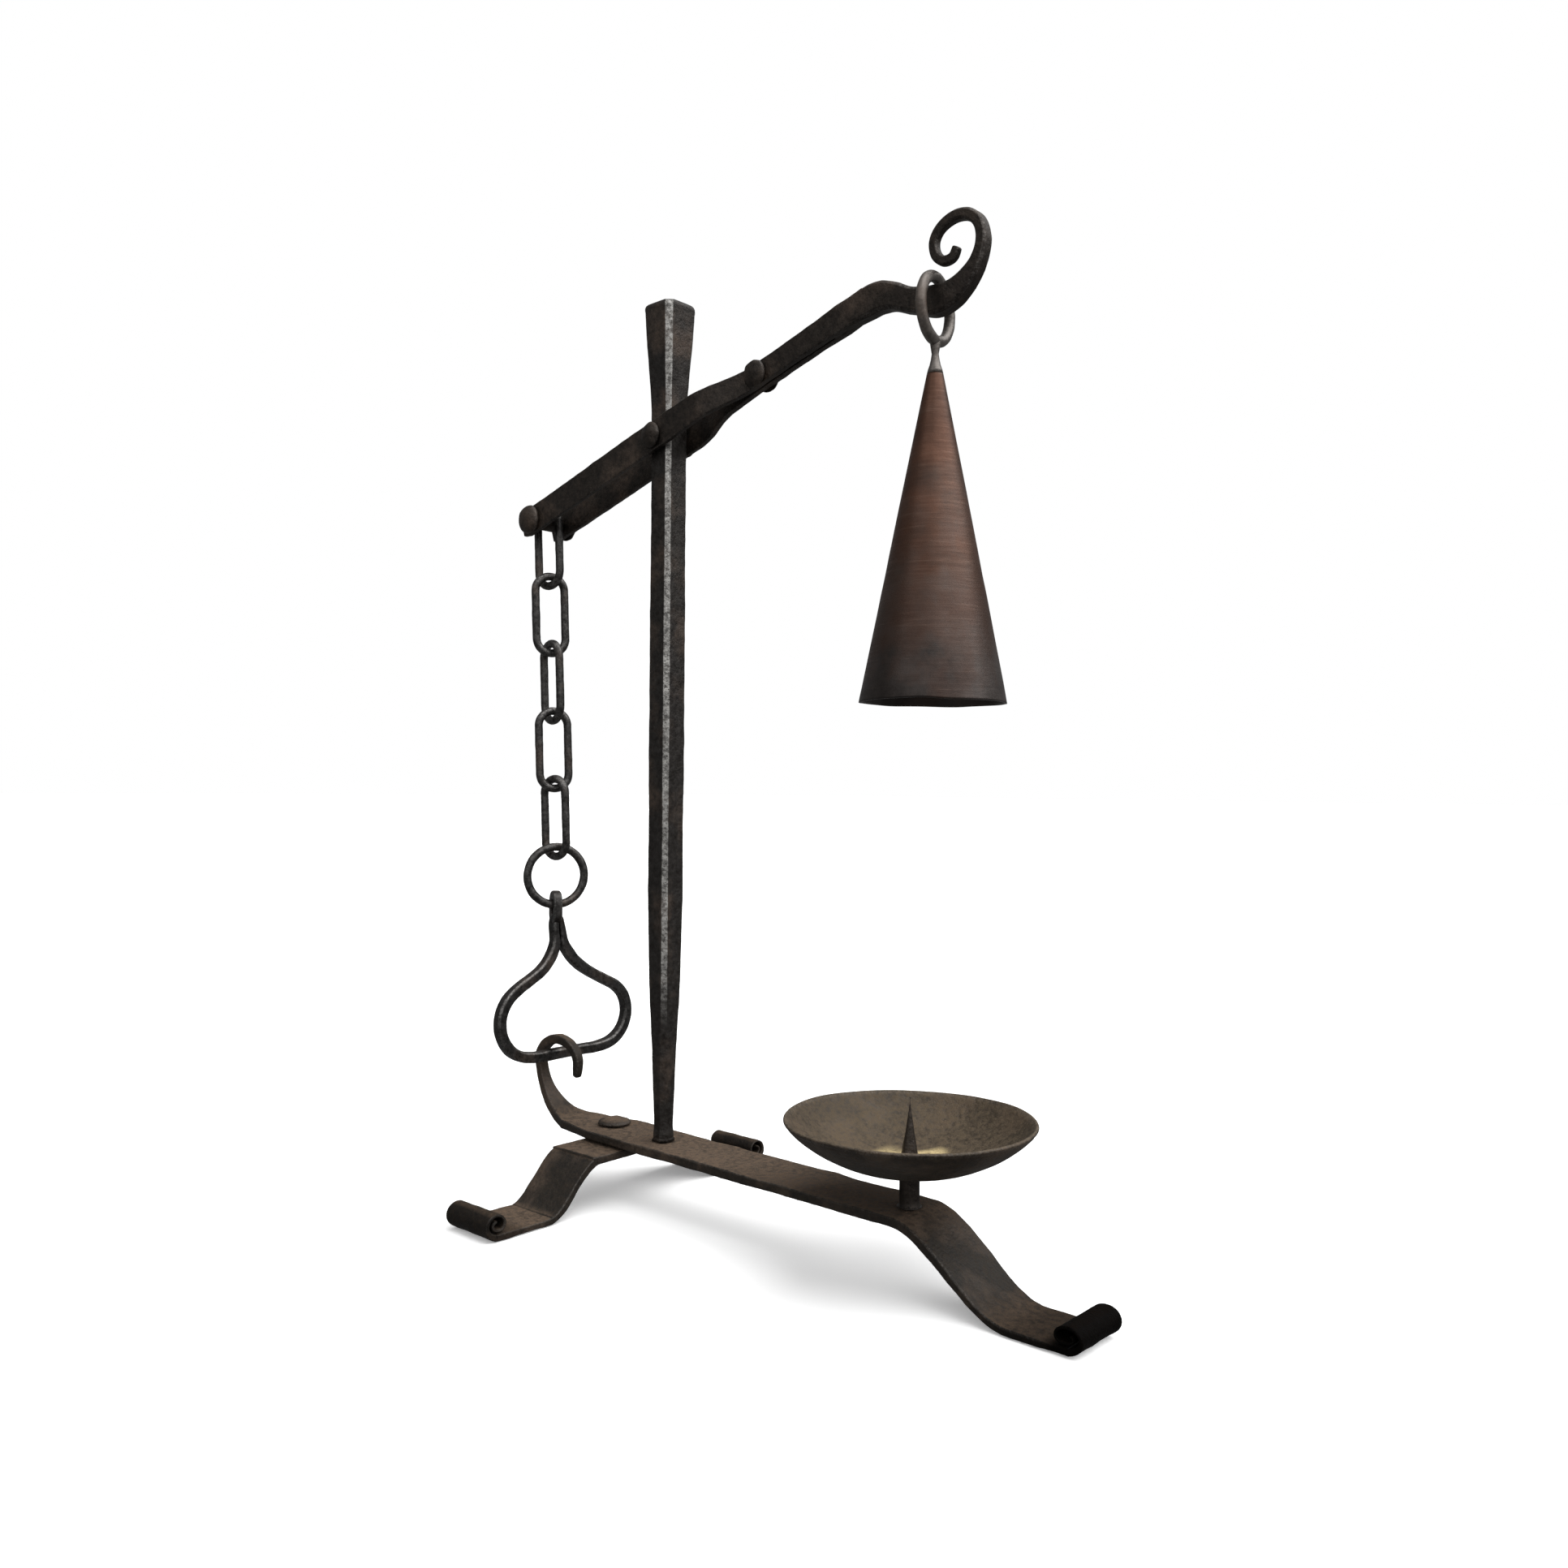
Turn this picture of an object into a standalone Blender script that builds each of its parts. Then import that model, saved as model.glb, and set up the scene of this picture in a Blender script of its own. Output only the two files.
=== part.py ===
"""Wrought-iron pricket candle holder: a riveted lever carries a cone snuffer over the pan, and a
chain with a spade handle holds the lever's tail down on a hook forged from the base bar."""

import math

import bmesh
import bpy
from mathutils import Matrix, Vector

mm = 0.001
GAP = 0.3 * mm  # air between pieces that touch
SLIDE = 0.45 * mm  # air beside pieces that move past each other

# base bar: rear hook, spine, front leg and rolled toe, forged from one flat bar
BAR_TOP = 29.6 * mm
BAR_THICK = 5.0 * mm
BAR_WIDTH = 30.0 * mm
BAR_SHIFT = 1.5 * mm  # the bar is forged a little to the rear of the post
KNEE_X = 136.0 * mm
LEG_RUN = 49.0 * mm
TOE_X = KNEE_X + LEG_RUN + 23.1 * mm
TOE_WIDTH = 28.5 * mm
TOE_SHIFT = -1.0 * mm  # the foot is set a little to the front again
TOE_ROLL = (7.9 * mm, 6.4 * mm)  # half the roll's length and height: it is rolled slightly flat
HOOK_START_X = -60.0 * mm
HOOK_BEND = 27.1 * mm
HOOK_HALF_SPAN = 14.0 * mm
HOOK_RISE = 9.8 * mm
HOOK_TIP_DROP = 6.5 * mm
HOOK_THICK = 5.2 * mm
HOOK_WELD_X = -51.0 * mm  # the hook is drawn separately and forge-welded to the spine here

# cross foot under the spine
CROSS_X = -29.3 * mm
CROSS_WIDTH = 29.4 * mm
CROSS_THICK = 4.2 * mm
CROSS_KNEE = 23.0 * mm
CROSS_RUN = 27.0 * mm
CROSS_SPREAD = 76.5 * mm
CROSS_ROLL = (7.2 * mm, 6.8 * mm)
ROLL_TIP = 1.8 * mm  # thickness the rolled ends are drawn down to

# post
PIVOT_Z = 338.0 * mm
POST_TOP = PIVOT_Z + 60.9 * mm
POST_SIDE = 13.5 * mm
POST_HEAD = POST_SIDE + 5.3 * mm
POST_FOOT = 8.4 * mm
POST_CHAMFER = 2.5 * mm
SHANK = 3.0 * mm  # radius of every rivet shank and tenon

# lever
BEAM_TILT = math.radians(16.8)
TINE_THICK = 3.0 * mm
ARM_WIDTH = 7.3 * mm
TAIL_REACH = 97.0 * mm
PIN_REACH = 89.2 * mm
FORK_RIVET_REACH = 58.0 * mm
FORK_CLOSES = (24.0 * mm, 53.0 * mm)
REAR_CLOSES = (9.0 * mm, 36.0 * mm)  # the rear strip comes in sooner
SEAT_X = KNEE_X + 7.0 * mm
CROOK_X = SEAT_X - 39.6 * mm
SLIT_END = CROOK_X + 14.6 * mm
SLIT = 0.3 * mm
SEAT_DROP = 4.8 * mm  # seat's middle below the crook's start
SEAT_THICK = 11.6 * mm
PIN_RADIUS = 4.25 * mm

# chain, ring and handle
LINK_YAWS = (6.0, 67.0, -7.0, 68.0, 5.0)
LINK_WIRE = 2.17 * mm
LINK_WIDTH = 8.525 * LINK_WIRE
RING_OUTER = 16.0 * mm
RING_WIRE = 2.15 * mm
RING_YAW = 67.0
HANDLE_BAR = 5.5 * mm
HANDLE_DROP = 73.9 * mm  # eye contact down to the middle of the bottom bar
HANDLE_X = -77.0 * mm
NECK_START = 9.2 * mm

# pan and candle spike
PAN_X = KNEE_X - 1.8 * mm
PAN_RADIUS = 47.05 * mm
PAN_RIM = 61.7 * mm
PAN_WALL = 1.3 * mm
PAN_FLAT = 8.0 * mm
PAN_LIFT = 14.3 * mm  # stem height between bar and pan
STEM_RADIUS = 4.0 * mm
SPIKE_TOP = 71.1 * mm
SPIKE_RADIUS = 3.6 * mm
SPIKE_TENON = 1.8 * mm

# snuffer
CONE_RADIUS = 27.75 * mm
CONE_WALL = 0.9 * mm
CONE_TIP = 3.1 * mm
CONE_HEIGHT = 121.3 * mm
HANGER_OUTER = 14.0 * mm
HANGER_WIRE = 2.4 * mm
HANGER_NECK = 12.2 * mm  # from the ring's wire down to the cone's tip
HANGER_YAW = 98.5
NECK_RADIUS = 1.35 * mm

IRON = (0.030, 0.026, 0.023, 1.0)
BROWN_IRON = (0.060, 0.045, 0.034, 1.0)
COPPER = (0.150, 0.070, 0.045, 1.0)

BAR_MIDDLE = BAR_TOP - BAR_THICK / 2
BAR_BOTTOM = BAR_TOP - BAR_THICK
TINE_INNER = POST_SIDE / 2 + SLIDE + 0.2 * mm
TINE_OUTER = TINE_INNER + TINE_THICK


def clear_scene():
    for thing in list(bpy.data.objects):
        bpy.data.objects.remove(thing, do_unlink=True)


def metal(name, colour, roughness):
    made = bpy.data.materials.new(name)
    made.use_nodes = True
    shader = made.node_tree.nodes["Principled BSDF"]
    shader.inputs["Base Color"].default_value = colour
    shader.inputs["Roughness"].default_value = roughness
    shader.inputs["Metallic"].default_value = 0.85
    made.diffuse_color = colour
    return made


def place(name, bm, colour, origin, roughness=0.55):
    """Turn a bmesh, drawn in world space, into a named object with its origin at a given point."""
    bmesh.ops.recalc_face_normals(bm, faces=bm.faces)
    bmesh.ops.translate(bm, verts=bm.verts, vec=-Vector(origin))
    mesh = bpy.data.meshes.new(name)
    bm.to_mesh(mesh)
    bm.free()
    mesh.shade_smooth()
    mesh.set_sharp_from_angle(angle=math.radians(35))
    mesh.materials.append(metal(name + "_finish", colour, roughness))
    made = bpy.data.objects.new(name, mesh)
    made.location = origin
    bpy.context.scene.collection.objects.link(made)
    return made


def boolean(target, tool, operation):
    tool.hide_render = True
    tool.display_type = "WIRE"
    step = target.modifiers.new(operation.lower(), "BOOLEAN")
    step.object = tool
    step.operation = operation
    step.solver = "EXACT"


def bridge(bm, loops, closed=False):
    """Skin a row of equal loops; an open row gets a flat cap at each end."""
    rows = [[bm.verts.new(point) for point in loop] for loop in loops]
    pairs = list(zip(rows, rows[1:]))
    if closed:
        pairs.append((rows[-1], rows[0]))
    for low, high in pairs:
        for i, corner in enumerate(low):
            j = (i + 1) % len(low)
            bm.faces.new((corner, low[j], high[j], high[i]))
    if not closed:
        bm.faces.new(rows[0])
        bm.faces.new(rows[-1])


def smooth(stations, steps, closed=False):
    """Catmull-Rom curve through stations of any number of values."""
    count = len(stations)
    rows = []
    for i in range(count if closed else count - 1):
        if closed:
            a, b, c, d = (stations[(i + k) % count] for k in (-1, 0, 1, 2))
        else:
            a, b, c, d = (stations[min(max(i + k, 0), count - 1)] for k in (-1, 0, 1, 2))
        for step in range(steps):
            t = step / steps
            rows.append(tuple(
                0.5 * (2 * q + (r - p) * t + (2 * p - 5 * q + 4 * r - s) * t * t
                       + (3 * q - p - 3 * r + s) * t ** 3)
                for p, q, r, s in zip(a, b, c, d)))
    if not closed:
        rows.append(tuple(stations[-1]))
    return rows


def chamfered(width, thick, chamfer):
    """Corners of a chamfered rectangle, as offsets across and along the thickness."""
    w = width / 2
    t = thick / 2
    c = min(chamfer, 0.58 * w, 0.58 * t)
    return ((w, t - c), (w - c, t), (c - w, t), (-w, t - c),
            (-w, c - t), (c - w, -t), (w - c, -t), (w, c - t))


def sweep(rows, to_world, chamfer, closed=False):
    """Sections of a bar bent in one plane. A row is (u, v, middle, width, thickness)."""
    loops = []
    count = len(rows)
    for i, (u, v, middle, width, thick) in enumerate(rows):
        before = rows[(i - 1) % count] if closed else rows[max(i - 1, 0)]
        after = rows[(i + 1) % count] if closed else rows[min(i + 1, count - 1)]
        run = Vector((after[0] - before[0], after[1] - before[1])).normalized()
        loops.append([to_world(u - run.y * t, v + run.x * t, middle + w)
                      for w, t in chamfered(width, thick, chamfer)])
    return loops


def in_xz(u, v, w):
    return Vector((u, w, v))


def in_yz(u, v, w):
    return Vector((w, u, v))


def ease(x):
    x = min(max(x, 0.0), 1.0)
    return x * x * (3 - 2 * x)


def turned(profile, centre, axis, segments):
    """Spin a profile of (radius, height) points about an axis through the centre."""
    bm = bmesh.new()
    corners = [bm.verts.new((radius, 0, height)) for radius, height in profile]
    rim = [bm.edges.new(pair) for pair in zip(corners, corners[1:])]
    if profile[0][0] > 0 or profile[-1][0] > 0:
        rim.append(bm.edges.new((corners[-1], corners[0])))
    bmesh.ops.spin(bm, geom=corners + rim, axis=(0, 0, 1), cent=(0, 0, 0), steps=segments,
                   angle=math.tau, use_merge=False)
    bmesh.ops.remove_doubles(bm, verts=bm.verts, dist=1e-6)
    turn = Vector((0, 0, 1)).rotation_difference(Vector(axis)).to_matrix().to_4x4()
    bmesh.ops.transform(bm, matrix=Matrix.Translation(centre) @ turn, verts=bm.verts)
    return bm


def drill(target, centre, axis, radius, depth):
    """Cut a round hole, centred on a point."""
    profile = ((0, -depth / 2), (radius, -depth / 2), (radius, depth / 2), (0, depth / 2))
    tool = place(target.name + "_drill", turned(profile, centre, axis, 20), IRON, centre)
    boolean(target, tool, "DIFFERENCE")


def dome(radius, height, base, direction, steps=3):
    """Half profile of a rivet head, from its rim to its crown."""
    rows = [(radius, base), (radius, base + direction * 0.25 * height)]
    for i in range(1, steps + 1):
        turn = math.pi / 2 * i / steps
        rise = 0.25 + 0.75 * math.sin(turn)
        rows.append((radius * math.cos(turn) if i < steps else 0.0, base + direction * height * rise))
    return rows


def rivet(name, centre, axis, low, high, radius, height, shank=SHANK, middle=()):
    """A rivet with a dome at each end; low and high are where the domes seat along the axis."""
    lower = dome(radius, height, low, -1)
    upper = dome(radius, height, high, 1)
    profile = lower[::-1] + [(shank, low)] + list(middle) + [(shank, high)] + upper
    return place(name, turned(profile, centre, axis, 20), IRON, centre)


def leg_height(distance, run, top, floor):
    return top + (floor - top) * ease(distance / run)


def roll_rows(centre_u, roll, sign, width, thick, middle, turns, steps):
    """Spiral of the rolled end: it leaves the floor under the roll's centre and winds up and in."""
    rows = []
    for i in range(steps + 1):
        share = i / steps
        now = thick + (ROLL_TIP - thick) * ease(3 * share)
        wound = share * turns
        # the first turn lies over the full thickness of the bar, the rest over its drawn end
        inward = now / 2 + min(wound, 1.0) * (thick + SLIDE) + max(wound - 1.0, 0.0) * 0.6 * ROLL_TIP
        angle = math.tau * wound
        rows.append((centre_u + sign * (roll[0] - inward) * math.sin(angle),
                     roll[1] - (roll[1] - inward) * math.cos(angle), middle, width, now))
    return rows


def hook_arch(x):
    """Height of the middle of the hook's arch above a place along the bar."""
    across = (x - (HOOK_START_X - HOOK_BEND + HOOK_HALF_SPAN)) / HOOK_HALF_SPAN
    return BAR_MIDDLE + HOOK_BEND + HOOK_RISE * math.sqrt(1 - across ** 2)


def hook_rows():
    """From the hook's tip over its arch and down the bend to the spine."""
    middle_x = HOOK_START_X - HOOK_BEND + HOOK_HALF_SPAN
    spring = BAR_MIDDLE + HOOK_BEND
    tip_x = middle_x + HOOK_HALF_SPAN - 0.9 * mm
    rows = [(tip_x, spring - HOOK_TIP_DROP, 0.0, 4.2 * mm, 3.8 * mm),
            (tip_x + 0.6 * mm, spring - HOOK_TIP_DROP / 2, 0.0, 4.5 * mm, 4.2 * mm)]
    for i in range(13):
        turn = math.pi * i / 12
        grow = i / 12
        rows.append((middle_x + HOOK_HALF_SPAN * math.cos(turn), spring + HOOK_RISE * math.sin(turn), 0.0,
                     (4.8 + 1.2 * grow) * mm, min(HOOK_THICK, (4.4 + 1.6 * grow) * mm)))
    for i in range(1, 11):
        turn = math.pi / 2 * (1 - i / 10)
        width = 6.0 * mm + (22.0 * mm - 6.0 * mm) * (i / 10) ** 2.4
        rows.append((HOOK_START_X - HOOK_BEND * math.sin(turn), spring - HOOK_BEND * math.cos(turn),
                     BAR_SHIFT * i / 10, width, HOOK_THICK + (BAR_THICK - HOOK_THICK) * i / 10))
    return rows


def bar_hook():
    rows = hook_rows()
    rows.append((HOOK_WELD_X, BAR_MIDDLE, BAR_SHIFT, 25 * mm, BAR_THICK))
    bm = bmesh.new()
    bridge(bm, sweep(rows, in_xz, 1.1 * mm))
    place("bar_hook", bm, BROWN_IRON, (HOOK_START_X, 0, BAR_MIDDLE), 0.7)


def base_bar():
    rows = [(HOOK_WELD_X + GAP, BAR_MIDDLE, BAR_SHIFT, 25 * mm, BAR_THICK)]
    for x, width in ((-48 * mm, 26 * mm), (-32 * mm, BAR_WIDTH), (0.0, BAR_WIDTH), (KNEE_X / 3, BAR_WIDTH),
                     (KNEE_X * 2 / 3, BAR_WIDTH), (KNEE_X - 12 * mm, BAR_WIDTH), (KNEE_X, BAR_WIDTH)):
        rows.append((x, BAR_MIDDLE, BAR_SHIFT, width, BAR_THICK))
    toe_thick = 3.6 * mm
    for i in range(1, 17):
        along = i / 16
        x = KNEE_X + LEG_RUN * along
        thick = BAR_THICK + (toe_thick - BAR_THICK) * along
        rows.append((x, leg_height(LEG_RUN * along, LEG_RUN, BAR_MIDDLE, toe_thick / 2),
                     BAR_SHIFT + (TOE_SHIFT - BAR_SHIFT) * along, BAR_WIDTH + (TOE_WIDTH - BAR_WIDTH) * along, thick))
    rows.append(((KNEE_X + LEG_RUN + TOE_X) / 2, toe_thick / 2, TOE_SHIFT, TOE_WIDTH, toe_thick))
    rows += roll_rows(TOE_X, TOE_ROLL, 1, TOE_WIDTH, toe_thick, TOE_SHIFT, 1.36, 44)
    bm = bmesh.new()
    bridge(bm, sweep(rows, in_xz, 1.1 * mm))
    bar = place("base_bar", bm, BROWN_IRON, (0, 0, BAR_MIDDLE), 0.7)
    drill(bar, (0, 0, BAR_MIDDLE), (0, 0, 1), SHANK + GAP, 4 * BAR_THICK)
    drill(bar, (PAN_X, 0, BAR_MIDDLE), (0, 0, 1), SHANK + GAP, 4 * BAR_THICK)
    drill(bar, foot_rivet_at(), (0, 0, 1), SHANK + GAP, 3 * BAR_THICK)


def foot_rivet_at():
    return Vector((CROSS_X - 7.0 * mm, 3.0 * mm, BAR_MIDDLE))


def cross_foot():
    top = BAR_BOTTOM - GAP - CROSS_THICK / 2
    toe_thick = 3.4 * mm
    half = []
    for i in range(0, 15):
        along = i / 14
        thick = CROSS_THICK + (toe_thick - CROSS_THICK) * along
        half.append((CROSS_KNEE + CROSS_RUN * along,
                     leg_height(CROSS_RUN * along, CROSS_RUN, top, toe_thick / 2),
                     CROSS_X, CROSS_WIDTH, thick))
    half.append(((CROSS_KNEE + CROSS_RUN + CROSS_SPREAD) / 2, toe_thick / 2, CROSS_X, CROSS_WIDTH, toe_thick))
    half += roll_rows(CROSS_SPREAD, CROSS_ROLL, 1, CROSS_WIDTH, toe_thick, CROSS_X, 1.42, 44)
    rows = [(-u, v, middle, width, thick) for u, v, middle, width, thick in reversed(half)]
    rows += half
    bm = bmesh.new()
    bridge(bm, sweep(rows, in_yz, 0.9 * mm))
    foot = place("cross_foot", bm, BROWN_IRON, (CROSS_X, 0, top), 0.7)
    drill(foot, foot_rivet_at(), (0, 0, 1), SHANK + GAP, 8 * BAR_THICK)


def foot_rivet():
    low = BAR_BOTTOM - 2 * GAP - CROSS_THICK - BAR_MIDDLE
    rivet("foot_rivet", foot_rivet_at(), (0, 0, 1), low, BAR_THICK / 2 + GAP, 7.9 * mm, 3.3 * mm)


def post():
    """Stations are height, side and chamfer; the tenon below is headed under the bar."""
    octagon = 0.293
    under = BAR_BOTTOM - GAP
    seat = BAR_TOP + GAP
    rows = [(under - 2.6 * mm, 7.0 * mm, octagon), (under - 1.6 * mm, 10.0 * mm, octagon),
            (under, 10.0 * mm, octagon), (under, 2 * SHANK, octagon), (seat, 2 * SHANK, octagon),
            (seat, POST_FOOT, octagon), (seat + 40 * mm, POST_FOOT + 2.4 * mm, 0.27)]
    rest = [(seat + 73 * mm, POST_SIDE - 1.0 * mm, POST_CHAMFER),
            (seat + 105 * mm, POST_SIDE, POST_CHAMFER), (PIVOT_Z - 14 * mm, POST_SIDE, POST_CHAMFER),
            (PIVOT_Z + 12 * mm, POST_SIDE, POST_CHAMFER), (PIVOT_Z + 22 * mm, POST_SIDE + 1.3 * mm, 2.6 * mm),
            (POST_TOP - 4.0 * mm, POST_HEAD, 3.0 * mm), (POST_TOP - 2.4 * mm, POST_HEAD - 1.0 * mm, 3.0 * mm),
            (POST_TOP - 1.1 * mm, POST_HEAD - 4.6 * mm, 2.6 * mm), (POST_TOP, 7.0 * mm, 1.8 * mm)]
    loops = []
    for height, side, chamfer in [(h, s, c * s) for h, s, c in rows] + rest:
        loops.append([Vector((w, t, height)) for w, t in chamfered(side, side, chamfer)])
    bm = bmesh.new()
    bridge(bm, loops)
    made = place("post", bm, IRON, (0, 0, seat), 0.45)
    drill(made, (0, 0, PIVOT_Z), (0, 1, 0), SHANK + GAP, 3 * POST_SIDE)


def pan_stem():
    low = BAR_BOTTOM - GAP - BAR_THICK * 0.04
    seat = BAR_TOP + GAP
    top = BAR_TOP + PAN_LIFT - GAP
    socket = SPIKE_TENON + GAP
    profile = ((0, low - 2.2 * mm), (3.4 * mm, low - 2.0 * mm), (4.8 * mm, low - 1.0 * mm), (4.8 * mm, low),
               (SHANK, low), (SHANK, seat), (STEM_RADIUS + 0.5 * mm, seat),
               (STEM_RADIUS, seat + 1.5 * mm), (STEM_RADIUS, top - 1.5 * mm), (STEM_RADIUS + 0.4 * mm, top),
               (socket, top), (socket, top - 5 * mm), (0, top - 5 * mm))
    place("pan_stem", turned(profile, (PAN_X, 0, 0), (0, 0, 1), 24), IRON, (PAN_X, 0, seat))


def pan_floor():
    return BAR_TOP + PAN_LIFT + PAN_WALL


def drip_pan():
    """Thin dish: a flat round floor, then a wall that follows a circular arc up to the rim."""
    low = BAR_TOP + PAN_LIFT
    rise = PAN_RIM - low
    run = PAN_RADIUS - PAN_FLAT
    bend = (run ** 2 + rise ** 2) / (2 * rise)
    lean = math.asin(run / bend)
    outer = []
    inner = []
    for i in range(9):
        turn = lean * i / 8
        outer.append((PAN_FLAT + bend * math.sin(turn), low + bend * (1 - math.cos(turn))))
        inner.append((PAN_FLAT + (bend - PAN_WALL) * math.sin(turn),
                      low + bend - (bend - PAN_WALL) * math.cos(turn)))
    hole = SPIKE_TENON + GAP
    ledge = SPIKE_RADIUS + 1.4 * mm
    step = 0.05 * mm
    profile = [(hole, low)] + outer + inner[::-1]
    profile += [(ledge, low + PAN_WALL), (ledge - step, low + PAN_WALL - step), (hole, low + PAN_WALL - step)]
    place("drip_pan", turned(profile, (PAN_X, 0, 0), (0, 0, 1), 40), BROWN_IRON, (PAN_X, 0, low), 0.65)


def pricket():
    seat = pan_floor() + GAP
    tall = SPIKE_TOP - seat
    foot = BAR_TOP + PAN_LIFT - 2 * GAP - 4.4 * mm
    profile = [(0, foot), (SPIKE_TENON, foot), (SPIKE_TENON, seat), (SPIKE_RADIUS + 0.9 * mm, seat),
               (SPIKE_RADIUS, seat + 1.0 * mm)]
    for share in (0.3, 0.6, 0.85):
        profile.append((SPIKE_RADIUS * (1 - share) ** 0.9, seat + tall * share))
    profile.append((0, SPIKE_TOP))
    place("pricket", turned(profile, (PAN_X, 0, 0), (0, 0, 1), 16), IRON, (PAN_X, 0, seat))


def on_beam(reach):
    """A point on the lever's straight middle line, at a distance from the pivot."""
    return reach * math.cos(BEAM_TILT), PIVOT_Z + reach * math.sin(BEAM_TILT)


def fork_half(x, open_half, closed_half, closes=FORK_CLOSES):
    start, end = closes
    return open_half + (closed_half - open_half) * ease((x - start) / (end - start))


def fork_places():
    """Places along the lever where either strip of the fork is bending."""
    start = REAR_CLOSES[0]
    return [start + (FORK_CLOSES[1] - start) * i / 12 for i in range(13)]


def beam_rows():
    """Straight fork and arm, then the crook, the ring seat and the scroll."""
    rows = []
    tail_x = -TAIL_REACH * math.cos(BEAM_TILT)
    places = [tail_x, tail_x + 2 * mm, -60 * mm, -30 * mm, 0.0]
    places += fork_places() + [CROOK_X * 0.68, CROOK_X * 0.85, CROOK_X]
    for x in places:
        z = PIVOT_Z + x * math.tan(BEAM_TILT)
        deep = 13.4 * mm - 3.1 * mm * ease((x - 5 * mm) / (55 * mm)) + 1.4 * mm * ease((x - 80 * mm) / (25 * mm))
        if x == tail_x:
            deep -= 2.4 * mm
        front = fork_half(x, TINE_OUTER, ARM_WIDTH / 2)
        rear = fork_half(x, TINE_OUTER, ARM_WIDTH / 2, REAR_CLOSES)
        rows.append((x, z, (rear - front) / 2, front + rear, deep))
    start_x, start_z = rows[-1][0], rows[-1][1]
    seat = start_z - SEAT_DROP
    bend = [(start_x, start_z, ARM_WIDTH, 11.7 * mm), (start_x + 8.6 * mm, start_z + 2.0 * mm, 7.3 * mm, 12.9 * mm),
            (start_x + 14.6 * mm, start_z + 2.6 * mm, 7.4 * mm, 12.3 * mm),
            (start_x + 21 * mm, start_z + 1.4 * mm, 7.5 * mm, 10.8 * mm),
            (start_x + 28 * mm, start_z - 1.6 * mm, 7.7 * mm, 9.9 * mm),
            (SEAT_X - 6 * mm, seat + 1.4 * mm, 7.9 * mm, 10.3 * mm), (SEAT_X, seat, 8.0 * mm, SEAT_THICK),
            (SEAT_X + 6 * mm, seat + 0.2 * mm, 7.9 * mm, 11.2 * mm)]
    scroll = ((11.2, 2.4, 7.4, 9.6), (16.3, 6.8, 6.8, 7.6), (19.6, 12.3, 6.2, 5.8), (20.7, 18.2, 5.8, 5.0),
              (18.9, 24.2, 5.3, 4.8), (14.1, 28.1, 5.0, 4.6), (7.8, 28.7, 4.6, 4.5), (2.2, 26.3, 4.2, 4.3),
              (-0.6, 22.0, 3.9, 4.2), (0.2, 17.0, 3.7, 4.0), (3.6, 13.9, 3.5, 3.9), (7.6, 14.3, 3.4, 4.0),
              (9.5, 17.6, 3.3, 3.6))
    bend += [(SEAT_X + u * mm, seat + v * mm, w * mm, t * mm) for u, v, w, t in scroll]
    for x, z, width, deep in smooth(bend, 3)[1:]:
        rows.append((x, z, 0.0, width, deep))
    return rows


def beam_fork():
    bm = bmesh.new()
    bridge(bm, sweep(beam_rows(), in_xz, 1.6 * mm))
    pivot = Vector((0, 0, PIVOT_Z))
    beam = place("beam_fork", bm, IRON, pivot, 0.5)
    slot = bmesh.new()
    loops = []
    for x in [-TAIL_REACH - 9 * mm, REAR_CLOSES[0] - 9 * mm] + fork_places() + [SLIT_END]:
        front = fork_half(x, TINE_INNER, SLIT / 2)
        rear = fork_half(x, TINE_INNER, SLIT / 2, REAR_CLOSES)
        z = PIVOT_Z + x * math.tan(BEAM_TILT)
        loops.append([Vector((x, rear, z - 25 * mm)), Vector((x, rear, z + 25 * mm)),
                      Vector((x, -front, z + 25 * mm)), Vector((x, -front, z - 25 * mm))])
    bridge(slot, loops)
    boolean(beam, place("fork_slot", slot, IRON, pivot), "DIFFERENCE")
    for reach in (0.0, FORK_RIVET_REACH, -PIN_REACH):
        x, z = on_beam(reach)
        drill(beam, (x, 0, z), (0, 1, 0), SHANK + GAP, 4 * TINE_OUTER)


def beam_rivets():
    """Pins through the fork: pivot, closing rivet, and the thick-waisted pin that carries the chain."""
    out = TINE_OUTER + GAP
    x, z = on_beam(0.0)
    rivet("pivot_rivet", (x, 0, z), (0, 1, 0), -out, out, 6.4 * mm, 3.6 * mm)
    x, z = on_beam(FORK_RIVET_REACH)
    near = fork_half(x - 6.5 * mm, TINE_OUTER, ARM_WIDTH / 2) - 0.05 * mm  # seated where the strip still closes
    rivet("fork_rivet", (x, 0, z), (0, 1, 0), -near, near, 6.5 * mm, 3.3 * mm)
    x, z = on_beam(-PIN_REACH)
    waist = TINE_INNER - GAP
    shape = ((SHANK, -waist), (PIN_RADIUS, -waist), (PIN_RADIUS, waist), (SHANK, waist))
    rivet("chain_pin", (x, 0, z), (0, 1, 0), -out, out, 7.4 * mm, 4.6 * mm, middle=shape)


def wire_loop(name, points, radius, origin, placing, colour=IRON):
    """A closed wire: a cyclic curve with a round bevel, drawn in its own frame."""
    curve = bpy.data.curves.new(name, "CURVE")
    curve.dimensions = "3D"
    curve.bevel_depth = radius
    curve.bevel_resolution = 2
    spline = curve.splines.new("POLY")
    spline.points.add(len(points) - 1)
    for knot, point in zip(spline.points, points):
        knot.co = (*point, 1.0)
    spline.use_cyclic_u = True
    curve.materials.append(metal(name + "_finish", colour, 0.5))
    made = bpy.data.objects.new(name, curve)
    made.matrix_world = Matrix.Translation(origin) @ placing
    bpy.context.scene.collection.objects.link(made)
    return made


def turn(axis, degrees):
    return Matrix.Rotation(math.radians(degrees), 4, axis)


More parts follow.
